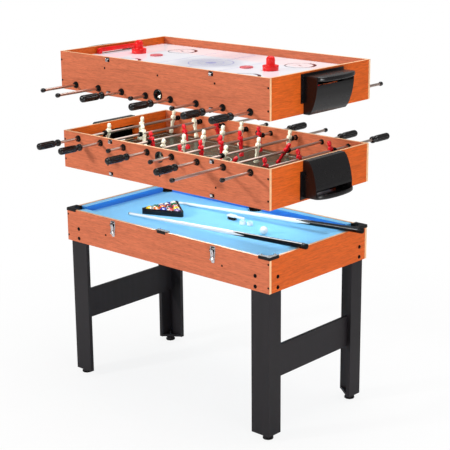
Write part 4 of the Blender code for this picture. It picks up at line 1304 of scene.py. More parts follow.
class TABLE_OT_chalk(Maker, bpy.types.Operator):
    """Chalk cubes with a worn hollow in the top"""

    bl_idname = "game_table.chalk"
    bl_label = "Chalk"

    def make(self):
        label = ink("chalk_paper", (0.98, 0.99, 1.0), 0.7)
        stone = finish("chalk_stone", chalk_stone)
        for name, place, turn, node in CHALKS:
            mesh, finishes = layered(name, [(block(*CHALK_CUBE, CHALK_EDGE, 2), label), (chalk_top(), stone)])
            mesh.transform(moved((*place, BED_TOP + HAIR)) @ turned_about("Z", turn))
            piece(name, mesh, finishes, "chalk", "pale_chalk", node)


BRUSH_FRAME = moved((0.010, 0.094, BED_TOP)) @ turned_about("Z", -4)
BRUSH_BACK = mm((0, 10.1), (3.9, 12.0), (39.2, 12.0), (49.0, 7.2), (73.5, 5.8), (92.1, 8.2), (98.0, 4.8))
BRUSH_LEVELS, BRUSH_EDGE = (0.0140, 0.0230), 0.0022
BAND_PLACE, BAND, BAND_LEVELS = (0.0215, 0, 0), (0.0200, 0.0098, 0.0020), (0.0122, 0.0142)
BRISTLE_ROWS, BRISTLE_COLUMNS, BRISTLE_START, BRISTLE_STEP = 9, 19, (0.0030, -0.0088), (0.0021, 0.0022)
BRISTLE_LEAN, BRISTLE_SPREAD, BRISTLE_POINT, BRISTLE_TOP = 0.0008, 0.0004, 0.0004, 0.0126


def bristle(row, column):
    """A bristle with a blunt point, leaning a little its own way."""
    thick = sizes().bristle
    foot = Vector((BRISTLE_START[0] + BRISTLE_STEP[0] * column, BRISTLE_START[1] + BRISTLE_STEP[1] * row, 0))
    lean = foot + Vector((
        BRISTLE_LEAN * math.sin(3.1 * column + 1.7 * row),
        BRISTLE_LEAN * math.sin(2.3 * row + 4.9 * column) + BRISTLE_SPREAD * (row - 4) / 4, HAIR,
    ))
    return skinned([
        [lean], [point + lean for point in ring_points(thick * 0.9, BRISTLE_POINT, 5)],
        [point + foot for point in ring_points(thick, BRISTLE_TOP, 5)],
    ])


class TABLE_OT_brush(Maker, bpy.types.Operator):
    """Table brush with rows of bristles"""

    bl_idname = "game_table.brush"
    bl_label = "Table brush"

    def make(self):
        back = slab(mirrored(curved(BRUSH_BACK)), *BRUSH_LEVELS, BRUSH_EDGE, 3)
        band = put(slab(rounded_rectangle(*BAND), *BAND_LEVELS, 0.0003, 1), moved(BAND_PLACE))
        places = [(row, column) for row in range(BRISTLE_ROWS) for column in range(BRISTLE_COLUMNS)]
        strands = gathered([bristle(row, column) for row, column in places])
        dark = ink("brush_bristles", (0.05, 0.05, 0.055), 0.7)
        mesh, finishes = layered("brush", [(back, brush_lacquer()), (band, dark), (strands, dark)])
        mesh.transform(BRUSH_FRAME)
        piece("cloth_brush", mesh, finishes, "brush", "brush_lacquer", ("table_brush",))


# Goal boxes

GOAL_REACH, GOAL_HALF, GOAL_WALL = 0.102, 0.119, 0.003
GOAL_LOW, GOAL_HIGH, GOAL_EDGE = 0.016, BOX_HEIGHT + 0.0015, 0.0011
# Shares of the box's reach and height
GOAL_CURVE = (
    (0.28, 1.00), (0.41, 0.89), (0.52, 0.72), (0.595, 0.56), (0.645, 0.39), (0.672, 0.25), (0.676, 0.00),
)
# Shares of the box's reach and half width
TRAY_CURVE = ((0.69, 0.992), (0.79, 0.92), (0.89, 0.75), (0.96, 0.50), (1.00, 0.18))
TRAY_FLOOR, TRAY_RIM = GOAL_LOW - 0.001, GOAL_LOW + 0.017
HAND_GAP, TRAY_CORNER, TRAY_ROUND = 0.016, 0.50 * GOAL_REACH, 0.005
FLANGE_HALF, FLANGE_LEVELS = 0.137, (GOAL_LOW - 0.009, 0.124)
SHADE_SHEET_THICKNESS, GOAL_MOUTH = 0.0014, 0.100
GOAL_MOUTH_LEVELS = ((DECK_HIGH, DECK_HIGH + 0.068), (DECK_LOW - 0.0125, DECK_LOW))
FLANGE_SCREW, FLANGE_SCREW_PLACE, FLANGE_SCREW_LEVELS = 0.0032, 0.129, (0.030, 0.112)


def goal_side(reach, low, high, back):
    line = curved([(share * reach, low + height * (high - low)) for share, height in GOAL_CURVE], 4)
    return [(back, low), (back, high)] + line


def goal_box():
    """Moulded goal box outside the right-hand end: curved front, hand gap and bowed tray."""
    upright, inner = turned_about("X", 90), GOAL_HALF - GOAL_WALL
    outer_side = goal_side(GOAL_REACH, GOAL_LOW, GOAL_HIGH, 2 * HAIR)
    inner_side = goal_side(GOAL_REACH - GOAL_WALL, GOAL_LOW + GOAL_WALL, GOAL_HIGH - GOAL_WALL, -0.01)
    body = put(slab(outer_side, -GOAL_HALF, GOAL_HALF), upright)
    hollow = put(slab(inner_side, -inner, inner), upright)
    bow = curved([(reach * GOAL_REACH, across * GOAL_HALF) for reach, across in TRAY_CURVE], 4)
    outline = mirrored([(TRAY_CORNER, bow[0][1])] + bow)
    room = [(x - GOAL_WALL, y * inner / GOAL_HALF) for x, y in outline]
    tray = slab(outline, TRAY_FLOOR, TRAY_RIM, TRAY_ROUND, 4)
    tray_room = slab(room, TRAY_FLOOR + GOAL_WALL, TRAY_RIM + 0.01)
    gap_half, gap_top = inner - 0.001, TRAY_RIM + HAND_GAP
    gap = block((TRAY_CORNER, -gap_half, TRAY_RIM), (GOAL_REACH + 0.01, gap_half, gap_top))
    flange = block((HAIR, -FLANGE_HALF, FLANGE_LEVELS[0]), (GOAL_WALL, FLANGE_HALF, FLANGE_LEVELS[1]))
    return worked(body, [
        ("join", tray), ("join", flange), ("cut", hollow), ("cut", tray_room), ("cut", gap),
        ("round", GOAL_EDGE),
    ])


def goal_shade_sheet():
    """Thin black sheet of painted shade on the end board inside a goal box, open at both goals."""
    inset = GOAL_WALL + HAIR
    half, low, high = GOAL_HALF - inset, GOAL_LOW + inset, GOAL_HIGH - inset
    sheet = block((HAIR, -half, low), (SHADE_SHEET_THICKNESS, half, high))
    openings = [block((-0.01, -GOAL_MOUTH, low), (0.01, GOAL_MOUTH, high)) for low, high in GOAL_MOUTH_LEVELS]
    return worked(sheet, [("cut", opening) for opening in openings])


class TABLE_OT_goal_boxes(Maker, bpy.types.Operator):
    """Moulded goal boxes with their ball trays"""

    bl_idname = "game_table.goal_boxes"
    bl_label = "Goal boxes"

    def make(self):
        mould = mesh_of(goal_box(), "goal_box")
        for box in BOXES:
            for name, end in LEFT_RIGHT:
                title, body = f"{box_name(box)}_{name}_goal", box_body(box)
                place = box @ half_turn(end) @ moved((END, 0, 0))
                mesh = mould.copy()
                mesh.transform(place)
                piece(title, mesh, goal_plastic(), body, stands_for=(f"{title}_box",))
                places = [
                    ((end * (END + GOAL_WALL), side * FLANGE_SCREW_PLACE, level), "X", end)
                    for side in ENDS for level in FLANGE_SCREW_LEVELS
                ]
                piece(f"{title}_screws", put(screws(places, FLANGE_SCREW), box), dark_steel(), body)
                # Painted shade: a black sheet darkens the inside of the goal box seen through the hand gap
                piece(f"{title}_shade_sheet", put(goal_shade_sheet(), place), matt_black(), body)


# Rods and players

# Height from the rod, half width and half depth, all in mm, and the depth of the groove between
# the legs as a share
PLAYER = (
    (-70.0, 10.8, 7.8, 0), (-69.0, 11.3, 8.3, 0), (-57.5, 11.0, 7.9, 0.10), (-54.5, 10.0, 6.8, 0.35),
    (-50.0, 8.0, 5.0, 0.55), (-44.0, 7.7, 4.6, 0.60), (-37.0, 8.6, 5.7, 0.60), (-31.0, 8.6, 5.8, 0.55),
    (-26.0, 8.1, 5.2, 0.50), (-20.0, 9.4, 6.6, 0.42), (-13.0, 10.8, 8.0, 0.20), (-9.5, 10.8, 8.0, 0),
    (-7.5, 9.2, 7.8, 0), (-2.0, 9.8, 8.9, 0), (5.0, 11.2, 9.3, 0), (11.0, 13.2, 9.0, 0),
    (14.5, 13.4, 8.4, 0), (17.2, 11.8, 7.0, 0), (18.8, 7.2, 5.6, 0), (20.2, 5.2, 5.0, 0),
    (22.2, 5.4, 5.4, 0), (24.5, 7.4, 7.8, 0), (29.0, 8.0, 8.3, 0), (35.0, 7.9, 8.3, 0),
    (39.5, 7.2, 7.6, 0), (42.5, 6.0, 6.3, 0), (43.8, 3.5, 3.8, 0),
)
PLAYER_SIDES, PLAYER_SQUARENESS, GROOVE_SHARE = 24, 0.72, 0.30
# Middle of each arm's ring and its radius
ARM = mm(
    (0, 11.6, 15.0, 1.8), (0, 12.2, 12.5, 3.1), (0.6, 12.2, 6.0, 3.1), (1.2, 11.8, -1.0, 2.6),
    (2.2, 11.2, -7.0, 2.5), (3.0, 10.8, -10.5, 2.7), (3.3, 10.6, -12.8, 1.4),
)
CLAMP_SCREW = mm((0, 8.5), (3.6, 8.5), (3.6, 10.0), (3.0, 10.4), (2.2, 10.4))
CLAMP_LIFT, ROD_OVERLAP, ROD_SIDES = 0.001, 0.002, 28
# Shares of the grip's radius, its length and the flutes' depth
GRIP = (
    (0.60, 0.000, 0), (0.70, 0.006, 0), (0.86, 0.016, 0), (0.95, 0.034, 0), (0.97, 0.050, 0),
    (0.90, 0.058, 0), (0.97, 0.066, 0), (0.98, 0.086, 0), (0.91, 0.094, 0), (0.97, 0.102, 0),
    (0.95, 0.124, 0), (0.86, 0.142, 0), (0.66, 0.160, 0), (0.57, 0.178, 0), (0.56, 0.205, 0),
    (0.64, 0.224, 0), (0.82, 0.244, 0), (0.93, 0.266, 0), (0.98, 0.300, 0.2), (1.00, 0.350, 1),
    (1.00, 0.600, 1), (1.00, 0.850, 1), (0.99, 0.900, 0.3), (0.96, 0.935, 0), (0.88, 0.965, 0),
    (0.72, 0.985, 0), (0.48, 0.996, 0),
)
GRIP_SIDES, GRIP_FLUTES, FLUTE_DEPTH_SHARE = 60, 10, 0.15
# Shares of the radius and the length
KNOB = (
    (0, 0), (0.72, 0), (0.80, 0.06), (0.80, 0.20), (0.97, 0.30), (1, 0.45), (1, 0.62), (0.92, 0.80),
    (0.70, 0.93), (0.38, 0.99), (0, 1),
)
BUMPER = (
    (ROD_RADIUS / BUMPER_RADIUS, 0), (0.88, 0), (0.98, 0.08), (1, 0.2), (0.95, 0.5), (1, 0.8), (0.98, 0.92),
    (0.88, 1), (ROD_RADIUS / BUMPER_RADIUS, 1),
)


def scaled(profile, radius, length):
    return [(across * radius, along * length) for across, along in profile]


def rod_x(index):
    return (index - (len(ROD_MEN) - 1) / 2) * ROD_SPACING


def men_places(index):
    men = ROD_MEN[index]
    return [(step - (men - 1) / 2) * MEN_SPACING_SHARES[men] * 2 * SIDE for step in range(men)]


def rod_travel(index):
    return INNER_SIDE - BUSH_INSIDE - men_places(index)[-1] - MAN_HALF_WIDTH - BUMPER_WIDTH - 3 * HAIR


def player():
    """A player on its rod, head towards +Z, shoulders along Y."""
    rings = []
    for *sizes_in_mm, groove in PLAYER:
        height, half_width, half_depth = mm(sizes_in_mm)[0]
        ring = []
        for step in range(PLAYER_SIDES):
            angle = TAU * (step + 0.5) / PLAYER_SIDES
            across, deep = math.sin(angle), math.cos(angle)
            y = half_width * math.copysign(abs(across) ** PLAYER_SQUARENESS, across)
            x = half_depth * math.copysign(abs(deep) ** PLAYER_SQUARENESS, deep)
            x *= 1 - groove * math.exp(-(y / (GROOVE_SHARE * half_width)) ** 2)
            ring.append(Vector((x, y, height)))
        rings.append(ring)
    shapes = [skinned(rings, capped=True)]
    for side in ENDS:
        rings = []
        for x, y, z, radius in ARM:
            centre = Vector((x, side * min(y, MAN_HALF_WIDTH - radius), z))
            rings.append([centre + point for point in ring_points(radius, 0, 10)])
        shapes.append(skinned(rings, capped=True))
    return gathered(shapes)


def player_screw():
    """Screw that clamps a player to its rod, in its own boss on the chest."""
    return put(turned(CLAMP_SCREW, 16), turned_about("Y", 90))


def fluted_grip():
    """Grip along +Z: ribbed collar, narrow neck, fluted barrel and domed end."""
    rings = [[Vector((0, 0, 0))]]
    for radius, length, depth in GRIP:
        ring = []
        for step, point in enumerate(ring_points(GRIP_RADIUS * radius, 0, GRIP_SIDES)):
            wave = (0.5 - 0.5 * math.cos(GRIP_FLUTES * TAU * step / GRIP_SIDES)) ** 2
            shrunk = point * (1 - FLUTE_DEPTH_SHARE * depth * wave)
            ring.append(shrunk + Vector((0, 0, length * GRIP_LENGTH)))
        rings.append(ring)
    return skinned(rings + [[Vector((0, 0, GRIP_LENGTH))]])


def bumper_ring(start):
    shape = turned(scaled(BUMPER, BUMPER_RADIUS, BUMPER_WIDTH), ROD_SIDES, closed=True)
    return put(shape, moved((0, start, 0)) @ along_y())


def rod(name, index, slide_share, tilt, bumpers, box):
    """A rod of a box with its players, grip, knob and bumpers, and its finishes."""
    travel, side, places = rod_travel(index), ROD_GRIP_SIDE[index], men_places(index)
    reach = SIDE + BUSH_OUTSIDE + travel
    grip_at, knob_at = side * (reach + GRIP_CLEARANCE), -side * (reach + CAP_CLEARANCE)
    low, high = sorted((grip_at + side * ROD_OVERLAP, knob_at - side * ROD_OVERLAP))
    profile = [(0, low), (ROD_RADIUS, low), (ROD_RADIUS, 0), (ROD_RADIUS, high), (0, high)]
    shaft = put(turned(profile, ROD_SIDES), along_y())
    men = gathered([put(player(), moved((0, place, 0))) for place in places])
    clamps = gathered([put(player_screw(), moved((0, place, CLAMP_LIFT))) for place in places])
    grip = put(fluted_grip(), moved((0, grip_at, 0)) @ along_y(side))
    knob = turned(scaled(KNOB, CAP_RADIUS, CAP_LENGTH), ROD_SIDES)
    put(knob, moved((0, knob_at, 0)) @ along_y(-side))
    outer = places[-1] + MAN_HALF_WIDTH + HAIR
    starts = [outer if bumper > 0 else -outer - BUMPER_WIDTH for bumper in bumpers]
    parts = [
        (shaft, drawn_steel_painted_reflection()), (men, red_plastic() if ROD_TEAM[index] else cream_plastic()),
        (clamps, dark_steel()), (grip, black_plastic()), (knob, black_plastic()),
    ]
    mesh, finishes = layered(name, parts + [(bumper_ring(start), rubber()) for start in starts])
    mesh.transform(box @ moved((rod_x(index), slide_share * travel, ROD_LEVEL)) @ turned_about("Y", tilt))
    return mesh, finishes


class TABLE_OT_foosball_rods(Maker, bpy.types.Operator):
    """Sliding, turning rods of the foosball box, with their players"""

    bl_idname = "game_table.foosball_rods"
    bl_label = "Foosball rods"

    def make(self):
        for index, (slide_share, tilt) in enumerate(zip(FOOSBALL_SLIDE_SHARES, FOOSBALL_TILT)):
            node = f"rod_{index + 1}"
            mesh, finishes = rod(f"foosball_{node}", index, slide_share, tilt, (1,), FOOSBALL)
            piece(f"foosball_{node}", mesh, finishes, node, "rod_steel", (node,))
            dress(f"bumper_{index + 1}", rubber())


class TABLE_OT_hockey_rods(Maker, bpy.types.Operator):
    """Rods and players hanging under the turned-over box"""

    bl_idname = "game_table.hockey_rods"
    bl_label = "Hockey box rods"

    def make(self):
        for index, (slide_share, tilt) in enumerate(zip(HOCKEY_SLIDE_SHARES, HOCKEY_TILT)):
            name = f"hockey_rod_{index + 1}"
            piece(name, *rod(name, index, slide_share, tilt, ENDS, HOCKEY), "hockey_box", "rod_steel")


# Bushings and ball entries

BUSH_OUTER = BUSH_RADIUS + 0.0004
# Radius and height over the wall's outer face
BUSH_FLANGE = mm((14.6, 0.2), (15.0, 1.0), (14.9, 3.0), (14.0, 4.2))
ENTRY_FLANGE = mm((22.2, 3.6), (24.0, 2.6), (24.5, 0.4))


def bushing():
    """Bushing through a wall whose outer face is at Z 0: flange and hub outside, rim inside."""
    inside, hub, bore = -BOARD - BUSH_INSIDE, BUSH_OUTSIDE + 0.0004, ROD_RADIUS + 0.0002
    return turned([
        (bore, inside), (BUSH_OUTER - 0.001, inside - 0.0004), (BUSH_OUTER, inside + 0.001),
        (BUSH_OUTER, -BOARD), (BUSH_OUTER, 0), *BUSH_FLANGE, (BUSH_OUTER + 0.0006, 0.0056),
        (BUSH_OUTER, BUSH_OUTSIDE - 0.001), (BUSH_OUTER - 0.0015, hub), (bore + 0.0004, hub),
        (bore, BUSH_OUTSIDE - 0.002),
    ], closed=True)


def ball_entry():
    """Flanged ring through a wall whose outer face is at Z 0."""
    radius, inside = BALL_ENTRY_RADIUS, -BOARD - 0.002
    return turned([
        (radius - 0.0006, inside), (radius - 0.0022, inside), (radius - 0.0026, 0.0020),
        (radius - 0.0010, 0.0034), *ENTRY_FLANGE, (radius - 0.0004, 0.0002),
    ], 40, closed=True)


class TABLE_OT_bushings(Maker, bpy.types.Operator):
    """Black bushings of the rods and rings of the ball entries"""

    bl_idname = "game_table.bushings"
    bl_label = "Bushings and ball entries"

    def make(self):
        for box in BOXES:
            bushes, entries = [], []
            for side in ENDS:
                for index in range(len(ROD_MEN)):
                    place = (rod_x(index), side * SIDE, ROD_LEVEL)
                    bushes.append(put(bushing(), moved(place) @ along_y(side)))
                place = (0, side * SIDE, BALL_ENTRY_LEVEL)
                entries.append(put(ball_entry(), moved(place) @ along_y(side)))
            name, body = box_name(box), box_body(box)
            piece(f"{name}_bushings", put(gathered(bushes), box), rubber(), body)
            piece(f"{name}_ball_entries", put(gathered(entries), box), black_plastic(), body)


# Playing surfaces

FIELD_SHEET, FIELD_RISE, DECK_GAP = 0.0004, 0.0002, 2 * HAIR
FIELD_LINE_SHARE, FIELD_END, FIELD_SIDE = 1.3, 0.56, 0.272
CENTRE_CIRCLE, CENTRE_SPOT, SPOT_WIDTH = 0.085, 0.006, 0.010
# Depth from the field's end and half width of the areas before a goal
GOAL_AREAS = ((0.13, 0.15), (0.06, 0.105))
ARC_PLACE, ARC_RADIUS, ARC_HALF_ANGLE = 0.43, 0.05, 1.2
HOCKEY_LINE_SHARE = 2.2
RING_PLACE, RING_RADIUS, RING_SPOT, RING_SPOT_WIDTH = (0.345, 0.180), 0.064, 0.0035, 0.007
BAR_PLACE, BAR_HALF = (0.020, 0.014), (0.009, 0.001)
MARK_WIDTH, MARK_RISE_SHARE, MARK_TURN, MARK_HALF_ANGLE = 0.014, 1.5, 0.70, 0.85
# Radius of each ring at the middle, and its width in widths of a line
HOCKEY_CENTRE = ((0.098, HOCKEY_LINE_SHARE), (0.056, 0.6 * HOCKEY_LINE_SHARE))
CENTRE_DOT, CENTRE_DOT_WIDTH = 0.012, 0.024
# Place along X, half width and reach along Y of the lines across the ice
CROSS_LINES = ((0.004, 0.0012, -0.295, -0.108), (0.004, 0.0012, 0.108, 0.295), (0.18, 0.0016, -0.295, 0.295))


def flat_ring(x, y, z, radius, width, rise, start=0.0, end=TAU):
    """A line of the given width round part of a circle."""
    whole = end - start > TAU - 0.001
    count = max(4, int(64 * (end - start) / TAU))
    low, high = sorted((z, z + rise))
    inner, outer = radius - width / 2, radius + width / 2
    section = ((inner, low), (outer, low), (outer, high), (inner, high))
    rings = []
    for step in range(count if whole else count + 1):
        angle = start + (end - start) * step / count
        along, across = math.cos(angle), math.sin(angle)
        rings.append([(x + reach * along, y + reach * across, level) for reach, level in section])
    return skinned(rings, closed=whole, capped=not whole)


def strip(low, high, z, rise):
    bottom, top = sorted((z, z + rise))
    return block((*low, bottom), (*high, top))


def field_lines(z):
    """Lines of the foosball field."""
    width, rise = sizes().line * FIELD_LINE_SHARE, FIELD_RISE
    half, reach = width / 2, FIELD_SIDE

    def line(x, y):
        """A line whose middle runs between two places along X, or along Y."""
        (left, right), (front, back) = sorted(x), sorted(y)
        if left == right:
            return strip((left - half, front), (left + half, back), z, rise)
        return strip((left, front - half), (right, front + half), z, rise)

    shapes = [line((0, 0), (-reach, reach)), flat_ring(0, 0, z, CENTRE_CIRCLE, width, rise)]
    shapes.append(flat_ring(0, 0, z, CENTRE_SPOT, SPOT_WIDTH, rise))
    for side in ENDS:
        end = side * FIELD_END
        shapes.append(line((-FIELD_END, FIELD_END), (side * reach, side * reach)))
        shapes.append(line((end, end), (-reach, reach)))
        for depth, wide in GOAL_AREAS:
            inner = side * (FIELD_END - depth)
            shapes.append(line((inner, inner), (-wide, wide)))
            for across in ENDS:
                shapes.append(line((inner, end), (across * wide, across * wide)))
        middle = math.pi if side > 0 else 0
        angles = (middle - ARC_HALF_ANGLE, middle + ARC_HALF_ANGLE)
        shapes.append(flat_ring(side * ARC_PLACE, 0, z, ARC_RADIUS, width, rise, *angles))
    return shapes


def hockey_marks(z):
    """Rings, coloured marks and centre print of the hockey surface."""
    line, rise = sizes().line, -SHEET
    rings, marks = [], []
    for end, side in CORNERS:
        x, y = end * RING_PLACE[0], side * RING_PLACE[1]
        rings.append(flat_ring(x, y, z, RING_RADIUS, HOCKEY_LINE_SHARE * line, rise))
        rings.append(flat_ring(x, y, z, RING_SPOT, RING_SPOT_WIDTH, rise))
        for along, across in CORNERS:
            bar_x, bar_y = x + along * BAR_PLACE[0], y + across * BAR_PLACE[1]
            low = (bar_x - BAR_HALF[0], bar_y - BAR_HALF[1])
            rings.append(strip(low, (bar_x + BAR_HALF[0], bar_y + BAR_HALF[1]), z, rise))
        angles = (-MARK_TURN - MARK_HALF_ANGLE, -MARK_TURN + MARK_HALF_ANGLE)
        marks.append(flat_ring(x, y, z, RING_RADIUS, MARK_WIDTH, MARK_RISE_SHARE * rise, *angles))
    centre = [flat_ring(0, 0, z, radius, share * line, rise) for radius, share in HOCKEY_CENTRE]
    centre.append(flat_ring(0, 0, z, CENTRE_DOT, CENTRE_DOT_WIDTH, rise))
    for side in ENDS:
        for x, half, front, back in CROSS_LINES:
            centre.append(strip((side * x - half, front), (side * x + half, back), z, rise))
    return {"rings": rings, "marks": marks, "centre": centre}


class TABLE_OT_decks(Maker, bpy.types.Operator):
    """Printed sheets on both faces of each deck, with their lines"""

    bl_idname = "game_table.decks"
    bl_label = "Playing surfaces"

    def make(self):
        pale = ink("field_lines", (0.80, 0.84, 0.80), 0.3)
        inks = {
            "rings": ink("hockey_rings", (0.22, 0.20, 0.25)),
            "marks": ink("hockey_marks", (0.30, 0.08, 0.13)),
            "centre": ink("hockey_centre", (0.62, 0.62, 0.78)),
        }
        reach_x, reach_y = INNER_END - DECK_GAP, INNER_SIDE - DECK_GAP
        outline = [(-reach_x, -reach_y), (reach_x, -reach_y), (reach_x, reach_y), (-reach_x, reach_y)]
        field_top, ice_low = DECK_HIGH + FIELD_SHEET, DECK_LOW - SHEET
        for box in BOXES:
            name, body = box_name(box), box_body(box)
            dress(f"{name}_deck", deck_board())
            field = put(slab(outline, DECK_HIGH, field_top), box)
            piece(f"{name}_field_sheet", field, finish("foosball_field", field_print), body, "field_print")
            ice = put(slab(outline, ice_low, DECK_LOW), box)
            piece(f"{name}_ice_sheet", ice, finish("hockey_surface", ice_print_painted_shade), body, "hockey_print")
            lines = put(gathered(field_lines(field_top)), box)
            piece(f"{name}_field_lines", lines, pale, body, "field_print", smooth=False)
            for title, shapes in hockey_marks(ice_low).items():
                shape = put(gathered(shapes), box)
                piece(f"{name}_ice_{title}", shape, inks[title], body, "hockey_print", smooth=False)


# Hockey pieces

GUARD_PLACE, GUARD_HALF, GUARD_TOP = 0.5795, 0.115, DECK_LOW - 0.0006
GUARD_HEIGHT, GUARD_OPENING, GUARD_THICKNESS, GUARD_EDGE = 0.026, 0.0065, 0.0050, 0.0018
POST_HALF, POST_DROP, POST_EDGE = (0.0085, 0.0100), 0.002, 0.0024
PUSHER_RADIUS, PUSHER_HEIGHT = 0.034, 0.060
# Shares of the pusher's radius and height
PUSHER = (
    (0.940, 0.000), (0.975, 0.025), (0.985, 0.100), (1.000, 0.270), (0.995, 0.330), (0.955, 0.348),
    (0.900, 0.325), (0.760, 0.295), (0.655, 0.300), (0.590, 0.335), (0.560, 0.390), (0.545, 0.480),
    (0.545, 0.600), (0.550, 0.700), (0.530, 0.790), (0.470, 0.885), (0.350, 0.955), (0.180, 0.992),
)
PUCK = mm(
    (0, 0), (27.0, 0), (28.7, 0.6), (29.0, 2.5), (28.7, 4.4), (27.2, 5.0), (23.5, 5.0), (22.8, 4.5),
    (9.0, 4.5), (8.3, 5.0), (0, 5.0),
)
# Name, the pusher's place and the puck's
HOCKEY_PLACES = (("left", (-0.455, 0.012), (-0.336, 0.005)), ("right", (0.335, 0.0), (0.211, -0.010)))


class TABLE_OT_goal_guards(Maker, bpy.types.Operator):
    """Red goal guards at both ends of each hockey surface"""

    bl_idname = "game_table.goal_guards"
    bl_label = "Hockey goal guards"

    def make(self):
        low, high = GUARD_TOP - GUARD_HEIGHT, GUARD_TOP - GUARD_OPENING
        post_x, post_y = POST_HALF
        for box in BOXES:
            shapes = []
            for end in ENDS:
                x = end * GUARD_PLACE
                near, far = x - GUARD_THICKNESS, x + GUARD_THICKNESS
                shapes.append(block((near, -GUARD_HALF, low), (far, GUARD_HALF, high), GUARD_EDGE))
                for y in (-GUARD_HALF, GUARD_HALF):
                    foot = (x - post_x, y - post_y, low + POST_DROP)
                    shapes.append(block(foot, (x + post_x, y + post_y, GUARD_TOP), POST_EDGE))
            shape = put(gathered(shapes), box)
            piece(f"{box_name(box)}_goal_guards", shape, hockey_red(), box_body(box), "red_plastic")


class TABLE_OT_hockey_pieces(Maker, bpy.types.Operator):
    """Pushers and pucks"""

    bl_idname = "game_table.hockey_pieces"
    bl_label = "Pushers and pucks"

    def make(self):
        surface = HOCKEY_TOP - DECK_LOW + HAIR
        profile = scaled([(0, 0), *curved(PUSHER, 2), (0, 1)], PUSHER_RADIUS, PUSHER_HEIGHT)
        for name, pusher_place, puck_place in HOCKEY_PLACES:
            for kind, place, shape, material in (
                ("pusher", pusher_place, turned(profile, 56), hockey_red()),
                ("puck", puck_place, turned(PUCK, 48), puck_plastic()),
            ):
                at, node = (*place, surface), f"{kind}_{name}"
                piece(f"{name}_{kind}", put(shape, moved(at)), material, node, "red_plastic", (node,), at)


# Stage

# Name, place, aim, size, power, whether it lights surfaces and whether it shows in their gloss
LIGHTS = (
    ("key_light", (-2.3, -4.9, 2.7), (0, 0, 1.0), (0.5, 0.5), 158, True, True),
    ("end_light", (4.4, -1.6, 1.0), (0.4, 0, 1.0), (2.2, 0.9), 92, True, True),
    ("top_light", (0.3, 0.6, 4.6), (0, 0, 1.0), (2.6, 2.6), 120, True, True),
    ("field_light", (0, 0, 1.343), (0, 0, 1.0), (1.15, 0.34), 2.4, True, True),
    ("players_light", (0, -0.30, 1.335), (0, 0.10, 1.08), (1.0, 0.04), 1.9, True, False),
    ("cloth_light", (0, 0, 0.990), (0, 0, 0.7), (1.15, 0.60), 1.0, True, False),
    ("cue_light", (0.1, 0.15, 0.985), (0.1, -0.05, 0.7), (0.9, 0.03), 0.58, True, True),
    ("gloss_light", (0.1, -0.10, 0.985), (0.1, -0.10, 0.7), (0.9, 0.10), 9, False, True),
)
SOFT_LIGHT = 0.34
CAMERA_PLACE, CAMERA_LENS, CAMERA_SENSOR, CAMERA_FAR = (3.7302, -4.0182, 2.2968), 102.379, 36, 60
CAMERA_YAW, CAMERA_PITCH, CAMERA_ROLL = -0.7384, -0.2734, -0.0088
FLOOR_RADIUS, FLOOR_DROP = 9, 0.0005
# Distances from the table's middle between which the floor fades to white, and how white it is at each
FADE_NEAR, FADE_FAR, FADE_LEAST, FADE_MOST = 0.5, 2.2, 0.86, 1.0


def area_light(name, place, aim, size, power, lit, glossy):
    light = bpy.data.lights.new(name, "AREA")
    light.shape = "RECTANGLE"
    light.size, light.size_y = size
    light.energy = power
    item = bpy.data.objects.new(name, light)
    item.rotation_euler = (Vector(aim) - Vector(place)).to_track_quat("-Z", "Y").to_euler()
    item.location = Vector(place) + MIDDLE
    item.visible_camera = False
    item.visible_diffuse = lit
    item.visible_glossy = glossy
    bpy.context.scene.collection.objects.link(item)


